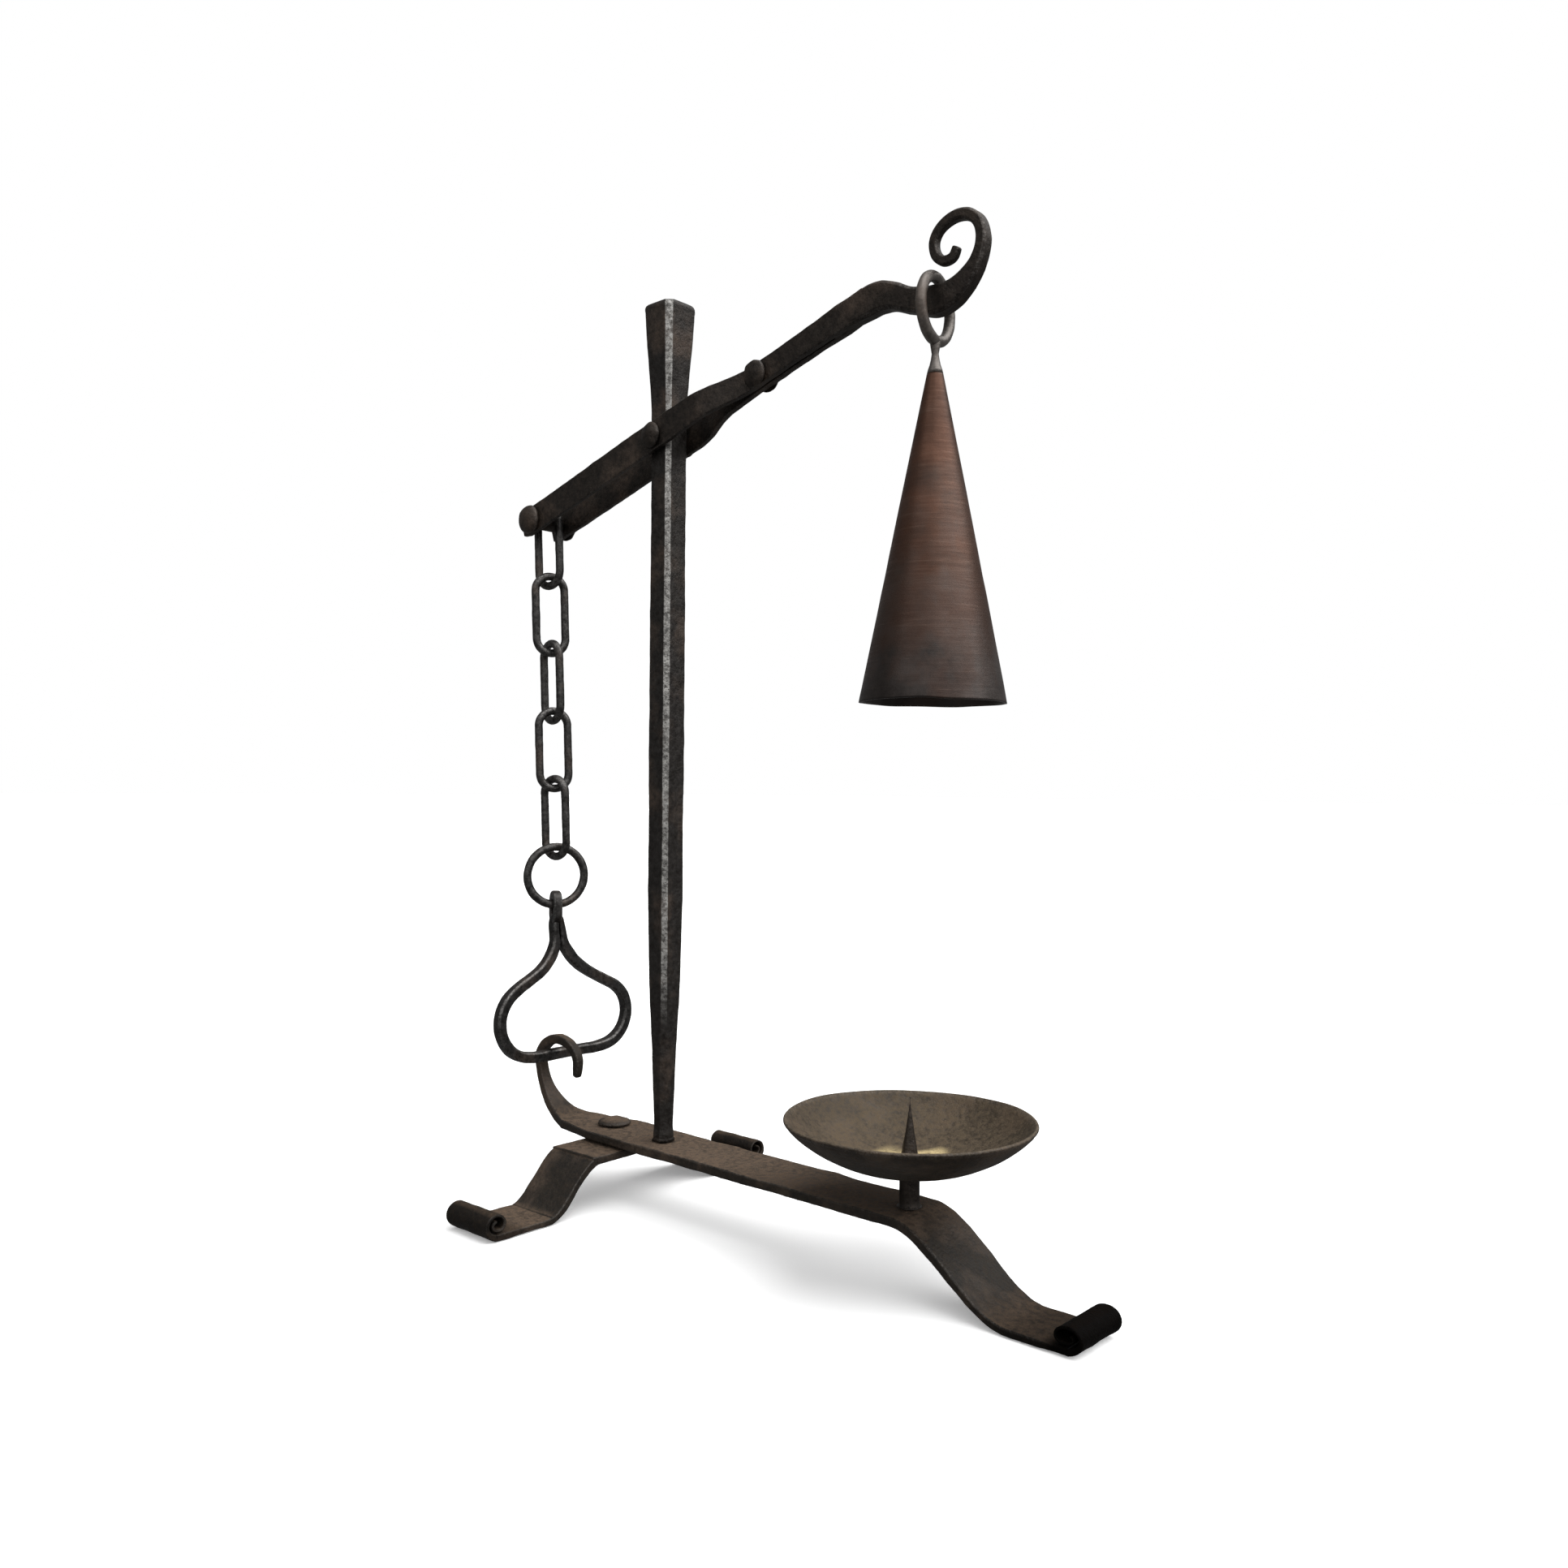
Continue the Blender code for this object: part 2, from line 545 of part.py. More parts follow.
def chain_line():
    """Contact points of the chain, from the pin down to the ring, in the plane of the lever."""
    x, z = on_beam(-PIN_REACH)
    top = Vector((x, 0, z + PIN_RADIUS + GAP / 2))
    return [top.lerp(ring_contact(), i / len(LINK_YAWS)) for i in range(len(LINK_YAWS) + 1)]


def handle_eye():
    """Where the handle's eye bears on the ring: the hook's arch sets it through the handle's drop."""
    bar = hook_arch(HANDLE_X - HANDLE_BAR / 2) - HOOK_THICK / 2 - 2 * SLIDE - HANDLE_BAR / 2
    return Vector((HANDLE_X, 0, bar + HANDLE_DROP - GAP / 2))


def ring_contact():
    return handle_eye() + Vector((0, 0, 2 * (RING_OUTER - 2 * RING_WIRE) - GAP))


def chain_links():
    contacts = chain_line()
    lean = math.degrees(math.atan2(contacts[-1].x - contacts[0].x, contacts[0].z - contacts[-1].z))
    inner = (contacts[0] - contacts[1]).length + GAP
    half = LINK_WIDTH / 2 - LINK_WIRE
    straight = inner / 2 + LINK_WIRE - half
    for k, yaw in enumerate(LINK_YAWS):
        points = []
        for i in range(20):
            angle = math.tau * (i + 0.5) / 20
            side = straight if math.sin(angle) > 0 else -straight
            points.append((half * math.cos(angle), 0, half * math.sin(angle) + side - inner / 2 + GAP / 2))
        wire_loop(f"chain_link_{k + 1}", points, LINK_WIRE, contacts[k], turn("Y", -lean) @ turn("Z", yaw))


def circle_points(radius, drop, count=30):
    return [(radius * math.cos(math.tau * i / count), 0, radius * math.sin(math.tau * i / count) - drop)
            for i in range(count)]


def chain_ring():
    radius = RING_OUTER - RING_WIRE
    wire_loop("chain_ring", circle_points(radius, radius - RING_WIRE - GAP / 2), RING_WIRE, ring_contact(),
              turn("Z", RING_YAW))


def spade_rows():
    """Middle line of the spade loop, below the eye, as offsets across and down."""
    left = ((0.4, -12.3), (-2.4, -17.4), (-7.2, -23.0), (-13.4, -27.0), (-21.0, -31.0), (-27.5, -36.0),
            (-31.2, -42.8), (-31.2, -50.8), (-27.6, -58.0), (-21.0, -62.8), (-12.0, -64.7))
    right = ((0.0, -64.7), (14.0, -64.7), (27.0, -64.7), (36.5, -62.4), (42.6, -56.6), (44.8, -49.2),
             (43.0, -41.8), (37.8, -36.0), (29.6, -31.7), (20.0, -26.8), (12.2, -21.4), (7.4, -16.2), (3.9, -12.3))
    return [(u * mm, neck_down(v), 0.0, HANDLE_BAR, HANDLE_BAR) for u, v in left + right]


def neck_down(v):
    """Depth below the eye: the neck starts at a fixed place, and the rest follows the handle's drop."""
    return v * mm * (HANDLE_DROP - NECK_START) / (64.7 * mm) - NECK_START


def pull_handle():
    """Spade loop of square bar; its neck is drawn flat and folded over the ring as an eye."""
    eye = handle_eye()
    loop = bmesh.new()
    bridge(loop, sweep(smooth(spade_rows(), 2, closed=True), in_yz, 0.9 * mm, closed=True), closed=True)
    handle = place("pull_handle", loop, IRON, (0, 0, 0))
    handle.location = eye
    neck = bmesh.new()
    rows = ((0.0, 0.3, 6.0, 6.4), (-3.3, 0.8, 7.4, 5.8), (-7.8, 1.6, 8.3, 5.0), (-13.3, 2.1, 10.2, 5.2),
            (-16.3, 2.2, 9.6, 5.2))
    bridge(neck, [[Vector((t, middle * mm + w, neck_down(v)))
                   for w, t in chamfered(wide * mm, thick * mm, 0.9 * mm)] for v, middle, wide, thick in rows])
    neck_tool = place("handle_neck", neck, IRON, (0, 0, 0))
    neck_tool.location = eye
    fold = bmesh.new()
    bridge(fold, sweep(fold_rows(), in_xz, 0.8 * mm, closed=True), closed=True)
    fold_tool = place("handle_fold", fold, IRON, (0, 0, 0))
    fold_tool.rotation_euler = (0, 0, math.radians(RING_YAW - 90))
    fold_tool.location = eye
    boolean(handle, neck_tool, "UNION")
    boolean(handle, fold_tool, "UNION")


def fold_rows():
    """Oval eye: a half circle over the ring's wire, two strands, and a half circle in the neck."""
    hole = RING_WIRE + SLIDE
    strand = 2.7 * mm
    crown = 4.4 * mm
    rows = []
    for i in range(20):
        angle = math.tau * (i + 0.5) / 20
        up = math.sin(angle)
        thick = strand + (crown - strand) * max(up, 0.0) ** 2
        reach = hole + thick / 2
        centre = GAP / 2 - hole if up > 0 else -6.4 * mm
        rows.append((reach * math.cos(angle), centre + reach * up, 0.0, 4.6 * mm, thick))
    return rows


def hanger_middle():
    """Middle of the ring wire where it lies in the lever's seat."""
    start = PIVOT_Z + CROOK_X * math.tan(BEAM_TILT)
    return start - SEAT_DROP + SEAT_THICK / 2 + 2 * GAP + HANGER_WIRE


def cone_top():
    return hanger_middle() - 2 * (HANGER_OUTER - HANGER_WIRE) - HANGER_NECK - GAP


def snuffer_hanger():
    """Round ring with a drawn neck below it, headed inside the cone's tip."""
    radius = HANGER_OUTER - HANGER_WIRE
    pivot = Vector((SEAT_X, 0, hanger_middle()))
    wire = [(radius + HANGER_WIRE * math.cos(math.tau * i / 12), HANGER_WIRE * math.sin(math.tau * i / 12))
            for i in range(12)]
    facing = math.radians(HANGER_YAW - 90)
    normal = (math.cos(facing), math.sin(facing), 0)
    ring = place("snuffer_hanger", turned(wire, pivot - Vector((0, 0, radius)), normal, 30), IRON, pivot)
    bottom = pivot.z - 2 * radius
    tip = cone_top() + GAP
    shank = CONE_TIP - CONE_WALL - SLIDE
    head = shank + 0.7 * mm
    profile = [(0, tip - 8.4 * mm), (head, tip - 8.4 * mm), (head, tip - 6.9 * mm), (shank, tip - 6.4 * mm),
               (shank, tip), (CONE_TIP, tip), (CONE_TIP - 0.8 * mm, tip + 3.0 * mm), (NECK_RADIUS, tip + 7.4 * mm),
               (2.0 * mm, bottom - 1.6 * mm), (2.2 * mm, bottom), (0, bottom)]
    neck = place("hanger_neck", turned(profile, (SEAT_X, 0, 0), (0, 0, 1), 16), IRON, pivot)
    boolean(ring, neck, "UNION")


def snuffer_cone():
    """Sheet cone, open below and at the small hole in its tip."""
    top = cone_top()
    bottom = top - CONE_HEIGHT
    profile = [(CONE_RADIUS - CONE_WALL, bottom), (CONE_RADIUS, bottom), (CONE_TIP, top),
               (CONE_TIP - CONE_WALL, top)]
    pivot = (SEAT_X, 0, hanger_middle())
    place("snuffer_cone", turned(profile, (SEAT_X, 0, 0), (0, 0, 1), 48), COPPER, pivot, 0.5)


def centre_on_floor():
    """Put the whole model's box over the origin: its middle in X, its lowest point on the floor."""
    bpy.context.view_layer.update()
    shown = [thing for thing in bpy.data.objects if not thing.hide_render]
    graph = bpy.context.evaluated_depsgraph_get()
    xs = []
    for thing in shown:
        seen = thing.evaluated_get(graph)
        mesh = seen.to_mesh()
        xs += [(seen.matrix_world @ vertex.co).x for vertex in mesh.vertices]
        seen.to_mesh_clear()
    middle = (min(xs) + max(xs)) / 2
    for thing in bpy.data.objects:
        thing.location.x -= middle


def main():
    clear_scene()
    bar_hook()
    base_bar()
    cross_foot()
    foot_rivet()
    post()
    pan_stem()
    drip_pan()
    pricket()
    beam_fork()
    beam_rivets()
    chain_links()
    chain_ring()
    pull_handle()
    snuffer_hanger()
    snuffer_cone()
    centre_on_floor()


main()
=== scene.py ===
import math

import bpy
import numpy as np
from mathutils import Matrix, Vector


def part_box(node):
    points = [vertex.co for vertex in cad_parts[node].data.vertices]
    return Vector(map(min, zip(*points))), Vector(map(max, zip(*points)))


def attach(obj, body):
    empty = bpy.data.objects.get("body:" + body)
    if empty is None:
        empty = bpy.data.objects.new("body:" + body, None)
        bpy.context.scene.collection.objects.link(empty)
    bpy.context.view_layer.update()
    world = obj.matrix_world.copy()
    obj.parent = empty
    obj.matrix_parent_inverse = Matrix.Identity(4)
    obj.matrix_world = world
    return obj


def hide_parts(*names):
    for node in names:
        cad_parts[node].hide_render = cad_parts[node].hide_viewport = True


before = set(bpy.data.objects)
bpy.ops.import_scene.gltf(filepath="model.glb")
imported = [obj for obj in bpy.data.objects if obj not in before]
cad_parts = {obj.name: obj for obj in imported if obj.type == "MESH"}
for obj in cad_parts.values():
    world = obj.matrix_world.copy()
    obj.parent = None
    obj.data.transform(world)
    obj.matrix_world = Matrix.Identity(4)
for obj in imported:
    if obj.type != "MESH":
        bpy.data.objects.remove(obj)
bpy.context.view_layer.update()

mm = 0.001
gap = 0.3
slide = 0.45
postLow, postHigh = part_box("post")
postX = (postLow.x + postHigh.x) / 2  # every piece below is drawn in millimetres from the post's foot
print("frame loaded, post at x", round(postX, 4))


# ---- shaping tools ----

def ease(x):
    # rises from 0 to 1 as 3x^2 - 2x^3
    x = np.clip(x, 0, 1)
    return x * x * (3 - 2 * x)


def scatter(cell, seed):
    # a repeatable number from 0 to 1 for each whole-number cell of space
    h = cell[..., 0] * 374761393 + cell[..., 1] * 668265263 + cell[..., 2] * 69069069
    h = (h + seed * 40503) & 0xffffffff
    h = ((h ^ (h >> 13)) * 1274126177) & 0xffffffff
    h = ((h ^ (h >> 16)) * 461845907) & 0xffffffff
    return ((h ^ (h >> 15)) & 0xffffff) / 0xffffff


def softNoise(points, size, seed):
    # value noise from -1 to 1: corner numbers of each cell, blended smoothly in three directions
    place = points / size
    cell = np.floor(place).astype(np.int64)
    share = ease(place - cell)
    total = 0
    for corner in np.ndindex(2, 2, 2):
        weight = np.prod(np.where(np.array(corner) == 1, share, 1 - share), axis=-1)
        total = total + weight * scatter(cell + np.array(corner), seed)
    return 2 * total - 1


def hammerDents(points, size, seed):
    # 1 in the middle of each hammer blow and 0 where blows meet, falling with the square of the distance
    place = points / size
    cell = np.floor(place).astype(np.int64)
    nearest = np.full(points.shape[:-1], 9.0)
    for shift in np.ndindex(3, 3, 3):
        near = cell + np.array(shift) - 1
        centre = near + np.stack([scatter(near, seed + k) for k in range(3)], axis=-1)
        nearest = np.minimum(nearest, np.linalg.norm(place - centre, axis=-1))
    return np.clip(1 - (nearest / 0.95) ** 2, 0, 1)


def smoothRows(stations, spacing):
    # Catmull-Rom curve through all values of the stations, then spaced evenly along its length
    s = np.asarray(stations, float)
    padded = np.vstack([2 * s[:1] - s[1:2], s, 2 * s[-1:] - s[-2:-1]])
    a, b, c, d = (padded[k:len(padded) - 3 + k][:, None] for k in range(4))
    t = np.linspace(0, 1, 24, endpoint=False)[None, :, None]
    square, cube = 2 * a - 5 * b + 4 * c - d, 3 * b - a - 3 * c + d
    curve = 0.5 * (2 * b + (c - a) * t + square * t ** 2 + cube * t ** 3)
    return evenRows(np.vstack([curve.reshape(-1, s.shape[1]), s[-1:]]), spacing)


def evenRows(curve, spacing, closed=False):
    # the same curve with its rows at equal distances
    curve = np.asarray(curve, float)
    along = np.concatenate([[0], np.cumsum(np.hypot(*np.diff(curve[:, :2], axis=0).T))])
    count = max(int(along[-1] / spacing), 8)
    places = np.linspace(0, along[-1], count + 1)[:count if closed else None]
    return np.stack([np.interp(places, along, curve[:, k]) for k in range(curve.shape[1])], axis=1)


def roundEnds(rows, depth):
    # width and thickness fall off as a quarter circle over the last part of each end
    along = np.concatenate([[0], np.cumsum(np.hypot(*np.diff(rows[:, :2], axis=0).T))])
    total = along[-1]
    near = depth * np.array([0, 0.04, 0.14, 0.3, 0.5, 0.72])
    inner = along[(along > depth) & (along < total - depth)]
    places = np.concatenate([near, inner, total - near[::-1]])
    out = np.stack([np.interp(places, along, rows[:, k]) for k in range(rows.shape[1])], axis=1)
    edge = np.minimum(places, total - places)
    loss = depth - np.sqrt(np.maximum(depth ** 2 - np.maximum(depth - edge, 0) ** 2, 0))
    out[:, 3] -= 2 * loss
    out[:, 4] -= 2 * loss
    return out


def barSection(acrossSteps, thickSteps, cornerSteps, power=1.0):
    # outline of a rectangle: k says where on the flats, c which way round the corner;
    # power 1 is a round corner, power 2 a flat chamfer
    turn = np.linspace(0, np.pi / 2, cornerSteps)
    cos, sin = np.cos(turn) ** power, np.sin(turn) ** power
    across = np.sin(np.linspace(-np.pi / 2, np.pi / 2, acrossSteps + 2))[1:-1]
    thick = np.sin(np.linspace(-np.pi / 2, np.pi / 2, thickSteps + 2))[1:-1]
    k, c = [], []
    for kx, ky, cx, cy, flat in ((1, 1, cos, sin, "top"), (-1, 1, -sin, cos, "left"),
                                 (-1, -1, -cos, -sin, "bottom"), (1, -1, sin, -cos, "right")):
        k.append(np.stack([np.full(cornerSteps, kx), np.full(cornerSteps, ky)], axis=1))
        c.append(np.stack([cx, cy], axis=1))
        run = {"top": (-across, 1), "left": (-1, -thick), "bottom": (across, -1), "right": (1, thick)}[flat]
        run = np.stack(np.broadcast_arrays(*run), axis=1)
        k.append(run)
        way = {"top": (0, 1), "left": (-1, 0), "bottom": (0, -1), "right": (1, 0)}[flat]
        c.append(np.tile(way, (len(run), 1)))
    return np.vstack(k).astype(float), np.vstack(c).astype(float)


def roundSection(steps):
    turn = np.linspace(0, 2 * np.pi, steps, endpoint=False)
    return np.zeros((steps, 2)), np.stack([np.cos(turn), np.sin(turn)], axis=1)


def sweepBar(rows, section, corner, closed=False):
    # a section carried along a path in one plane: u and v in the plane, the width across it;
    # gives the points, the outward directions and how near each point is to an edge
    u, v, across, width, thick = rows.T[:5]
    if closed:
        du, dv = np.roll(u, -1) - np.roll(u, 1), np.roll(v, -1) - np.roll(v, 1)
    else:
        du, dv = np.gradient(u), np.gradient(v)
    size = np.hypot(du, dv)
    du, dv = (du / size)[:, None], (dv / size)[:, None]
    k, c = section
    radius = np.minimum(corner, 0.5 * np.minimum(width, thick))[:, None]
    w = k[:, 0] * (width[:, None] / 2 - radius) + c[:, 0] * radius
    t = k[:, 1] * (thick[:, None] / 2 - radius) + c[:, 1] * radius
    points = np.stack([u[:, None] - dv * t, across[:, None] + w, v[:, None] + du * t], axis=2)
    way = c / np.linalg.norm(c, axis=1, keepdims=True)
    outward = np.stack([-dv * way[:, 1], np.broadcast_to(way[:, 0], t.shape), du * way[:, 1]], axis=2)
    edge = np.broadcast_to((np.abs(way).min(axis=1) > 0.02).astype(float), t.shape)
    return points, outward, edge


def shifted(points, x):
    return points + np.array([x, 0, 0])


def onCircle(turn, radius=1):
    return radius * np.stack([np.cos(turn), np.sin(turn), 0 * turn], axis=1)


def revolve(profile, segments, square=0.0):
    # a profile of radius and height turned about Z; square pushes the round towards four flats
    radius, height = np.asarray(profile, float).T
    turn = np.linspace(0, 2 * np.pi, segments, endpoint=False)
    r = radius[:, None] * (1 + square * np.cos(4 * turn))
    points = np.stack([r * np.cos(turn), r * np.sin(turn), np.broadcast_to(height[:, None], r.shape)], axis=2)
    slope = np.stack([np.gradient(height), -np.gradient(radius)], axis=1)
    slope /= np.maximum(np.linalg.norm(slope, axis=1, keepdims=True), 1e-9)
    outward = np.stack([slope[:, :1] * np.cos(turn), slope[:, :1] * np.sin(turn),
                        np.broadcast_to(slope[:, 1:], r.shape)], axis=2)
    return points, outward


def blows(wave, waveSize, dent, dentSize, fine, fineSize=1.6):
    # depths and sizes of the hammer marks, all in millimetres
    return {"wave": wave, "waveSize": waveSize, "dent": dent, "dentSize": dentSize, "fine": fine,
            "fineSize": fineSize}


def beaten(points, outward, marks, seed):
    # hammer marks pushed inwards: broad waves, blows of one size, and smaller ones over them
    depth = marks["wave"] * (0.5 + 0.5 * softNoise(points, marks["waveSize"], seed))
    depth = depth + marks["dent"] * hammerDents(points, marks["dentSize"], seed + 5)
    depth = depth + marks["fine"] * (0.5 + 0.5 * softNoise(points, marks["fineSize"], seed + 11))
    return points - outward * depth[..., None]


def turnAxis(axis, degrees):
    return np.array(Matrix.Rotation(math.radians(degrees), 3, axis))


def placed(points, turn, origin):
    # turned about zero, then carried to its place
    return points @ np.asarray(turn).T + np.asarray(origin, float)


def makePiece(name, body, replaced, material, shells):
    # each shell is a grid of points, whether its rows join up, and its own values for the finish
    verts, quads, tris, values = [], [], [], {"wear": [], "tone": [], "sootAndShade": []}
    start = 0
    for shell in shells:
        grid = shell["points"]
        rows, cols = grid.shape[:2]
        index = start + np.arange(rows * cols).reshape(rows, cols)
        ring = np.vstack([index, index[:1]]) if shell.get("closed") else index
        side = np.roll(ring, -1, axis=1)
        faces = np.stack([ring[:-1], side[:-1], side[1:], ring[1:]], axis=-1).reshape(-1, 4)
        fans = np.zeros((0, 3), int)
        points = grid.reshape(-1, 3)
        tags = {key: np.broadcast_to(shell.get(key, 0.0), (rows, cols)).ravel() for key in values}
        if not shell.get("closed"):
            low, high = start + rows * cols, start + rows * cols + 1
            points = np.vstack([points, grid[0].mean(axis=0), grid[-1].mean(axis=0)])
            tags = {key: np.concatenate([tag, [tag[0], tag[-1]]]) for key, tag in tags.items()}
            first, last = index[0], index[-1]
            fans = np.vstack([np.stack([np.roll(first, -1), first, np.full(cols, low)], axis=1),
                              np.stack([last, np.roll(last, -1), np.full(cols, high)], axis=1)])
        split = np.vstack([faces[:, [0, 1, 2]], faces[:, [0, 2, 3]], fans]) - start
        a, b, c = points[split[:, 0]], points[split[:, 1]], points[split[:, 2]]
        if np.einsum("ij,ij->i", a, np.cross(b, c)).sum() < 0:  # a negative volume faces inwards
            faces, fans = faces[:, ::-1], fans[:, ::-1]
        verts.append(points)
        quads.append(faces)
        tris.append(fans)
        for key in values:
            values[key].append(tags[key])
        start += len(points)
    verts = np.vstack(verts) * mm + np.array([postX, 0, 0])
    quads, tris = np.vstack(quads), np.vstack(tris)
    mesh = bpy.data.meshes.new(name)
    mesh.vertices.add(len(verts))
    mesh.vertices.foreach_set("co", verts.astype(np.float32).ravel())
    mesh.loops.add(4 * len(quads) + 3 * len(tris))
    mesh.loops.foreach_set("vertex_index", np.concatenate([quads.ravel(), tris.ravel()]).astype(np.int32))
    mesh.polygons.add(len(quads) + len(tris))
    begins = np.concatenate([4 * np.arange(len(quads)), 4 * len(quads) + 3 * np.arange(len(tris))])
    mesh.polygons.foreach_set("loop_start", begins.astype(np.int32))
    mesh.polygons.foreach_set("use_smooth", np.ones(len(begins), bool))
    mesh.update(calc_edges=True)
    mesh.validate()
    normals = np.zeros(len(verts) * 3, np.float32)
    mesh.vertices.foreach_get("normal", normals)
    values["up"] = [np.clip(normals.reshape(-1, 3)[:, 2], -1, 1)]
    for key, parts in values.items():
        layer = mesh.attributes.new(key, "FLOAT", "POINT")
        layer.data.foreach_set("value", np.concatenate(parts).astype(np.float32))
    mesh.materials.append(material)
    piece = bpy.data.objects.new(name, mesh)
    bpy.context.scene.collection.objects.link(piece)
    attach(piece, body)
    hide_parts(*replaced)
    print("made", name, len(verts), "points")
    return piece


# ---- finishes ----

def addNode(tree, kind, inputs=None, **settings):
    node = tree.nodes.new("ShaderNode" + kind)
    for key, value in settings.items():
        setattr(node, key, value)
    for key, value in (inputs or {}).items():
        if isinstance(value, bpy.types.NodeSocket):
            tree.links.new(value, node.inputs[key])
        else:
            node.inputs[key].default_value = value
    return node


def noiseOf(tree, coords, scale, detail=4, rough=0.6, stretch=None):
    if stretch:
        coords = addNode(tree, "Mapping", {"Vector": coords, "Scale": stretch}).outputs[0]
    return addNode(tree, "TexNoise", {"Vector": coords, "Scale": scale, "Detail": detail,
                                      "Roughness": rough}).outputs["Fac"]


def ranged(tree, value, low, high, toLow=0.0, toHigh=1.0):
    return addNode(tree, "MapRange", {"Value": value, "From Min": low, "From Max": high,
                                      "To Min": toLow, "To Max": toHigh}).outputs["Result"]


def maths(tree, operation, a, b):
    clamped = operation != "SUBTRACT"
    return addNode(tree, "Math", {0: a, 1: b}, operation=operation, use_clamp=clamped).outputs[0]


def blended(tree, share, a, b):
    node = addNode(tree, "Mix", {0: share, 6: a, 7: b}, data_type="RGBA")
    return node.outputs[2]


def colour(r, g, b):
    return (r, g, b, 1.0)


def times(tree, a, b):
    return maths(tree, "MULTIPLY", a, b)


def tagged(tree, name):
    return addNode(tree, "Attribute", attribute_name=name).outputs["Fac"]


def forgedFinish(name, look):
    # dark scale with brown patches, dust lying on what faces up, bright steel where edges are rubbed, and
    # near-black painted shade where a piece asks for it
    made = bpy.data.materials.new(name)
    made.use_nodes = True
    tree = made.node_tree
    shader = tree.nodes["Principled BSDF"]
    coords = addNode(tree, "TexCoord").outputs["Object"]
    broad = noiseOf(tree, coords, look["patchScale"], 4, 0.6)
    grain = noiseOf(tree, coords, 420, 5, 0.7)
    speck = noiseOf(tree, coords, 1700, 3, 0.6)
    base = blended(tree, ranged(tree, grain, 0.32, 0.7), colour(*look["dark"]), colour(*look["light"]))
    rust = times(tree, ranged(tree, broad, look["patchFrom"], look["patchFrom"] + 0.16),
                 ranged(tree, grain, 0.3, 0.62, 0.35, 1.0))
    base = blended(tree, rust, base, colour(*look["rust"]))
    facing = tagged(tree, "up")
    dust = times(tree, ranged(tree, facing, look["dustFrom"], 1.0, 0.0, look["dustAmount"]),
                 ranged(tree, grain, 0.36, 0.6, 0.35, 1.0))
    base = blended(tree, dust, base, colour(*look["dust"]))
    rub = times(tree, ranged(tree, tagged(tree, "wear"), 0.15, 0.95),
                ranged(tree, speck, look["wearFrom"], look["wearFrom"] + 0.14))
    rub = times(tree, rub, ranged(tree, grain, 0.4, 0.58, 0.25, 1.0))
    base = blended(tree, times(tree, rub, look["wearAmount"]), base, colour(*look["bright"]))
    # painted shade: near-black blended into the colour, with the shine taken away, where the piece's painted
    # shade value is high
    sootAndShade = tagged(tree, "sootAndShade")
    base = blended(tree, sootAndShade, base, colour(0.0012, 0.0009, 0.0008))
    tree.links.new(base, shader.inputs["Base Color"])
    tree.links.new(ranged(tree, sootAndShade, 0.0, 1.0, 0.5, 0.02), shader.inputs["Specular IOR Level"])
    rough = ranged(tree, grain, 0.3, 0.7, look["rough"] - 0.1, look["rough"] + 0.12)
    rough = maths(tree, "ADD", rough, times(tree, dust, 0.35))
    rough = maths(tree, "SUBTRACT", rough, times(tree, rub, 0.16))
    tree.links.new(rough, shader.inputs["Roughness"])
    dull = times(tree, maths(tree, "ADD", dust, rust), 0.5)
    metal = addNode(tree, "Math", {0: look["metal"], 1: dull}, operation="SUBTRACT", use_clamp=True)
    metal = metal.outputs[0]
    tree.links.new(metal, shader.inputs["Metallic"])
    wide = addNode(tree, "Bump", {"Height": grain, "Strength": look["bump"], "Distance": 0.0006})
    pits = addNode(tree, "TexVoronoi", {"Vector": coords, "Scale": 520.0}).outputs["Distance"]
    pitted = addNode(tree, "Bump", {"Height": ranged(tree, pits, 0.0, 0.45), "Strength": look["bump"] * 0.5,
                                    "Distance": 0.0003, "Normal": wide.outputs[0]})
    tight = addNode(tree, "Bump", {"Height": speck, "Strength": look["bump"] * 0.7, "Distance": 0.00025,
                                   "Normal": pitted.outputs[0]})
    tree.links.new(tight.outputs[0], shader.inputs["Normal"])
    return made, tree, shader, base


blackScale = {"dark": (0.015, 0.012, 0.010), "light": (0.047, 0.037, 0.030),
              "rust": (0.066, 0.043, 0.029), "dust": (0.070, 0.056, 0.044), "bright": (0.30, 0.29, 0.28),
              "patchScale": 38.0, "patchFrom": 0.50, "dustFrom": 0.5, "dustAmount": 0.3,
              "wearFrom": 0.42, "wearAmount": 0.2, "rough": 0.46, "metal": 0.7, "bump": 0.55}
rubbedPost = {**blackScale, "light": (0.045, 0.041, 0.038), "bright": (0.42, 0.41, 0.39),
              "wearFrom": 0.30, "wearAmount": 1.0}
brownScale = {**blackScale, "dark": (0.010, 0.008, 0.006), "light": (0.031, 0.022, 0.0145),
              "rust": (0.050, 0.031, 0.018), "dust": (0.120, 0.078, 0.048), "dustFrom": 0.84,
              "dustAmount": 0.85, "patchFrom": 0.46, "wearAmount": 0.1, "rough": 0.62, "metal": 0.4,
              "bump": 0.8}
drawnWire = {**blackScale, "dark": (0.020, 0.019, 0.018), "light": (0.060, 0.057, 0.055), "rough": 0.36,
             "metal": 0.85, "bump": 0.35, "dustAmount": 0.2, "wearFrom": 0.36, "wearAmount": 0.45}
# the snuffer's ring and neck: base colours painted several times lighter than the other iron, a painted
# highlight
paintedHighlightRing = {**blackScale, "dark": (0.095, 0.083, 0.074), "light": (0.205, 0.185, 0.168),
            "rust": (0.115, 0.085, 0.066), "rough": 0.40, "metal": 0.65, "bump": 0.35, "wearAmount": 0.3}
waxedPan = {**brownScale, "dark": (0.014, 0.009, 0.005), "light": (0.040, 0.027, 0.0145),
            "rust": (0.054, 0.033, 0.017), "dust": (0.112, 0.080, 0.046), "dustFrom": 0.25,
            "dustAmount": 0.75, "rough": 0.58, "metal": 0.35, "bump": 0.7, "patchScale": 55.0}

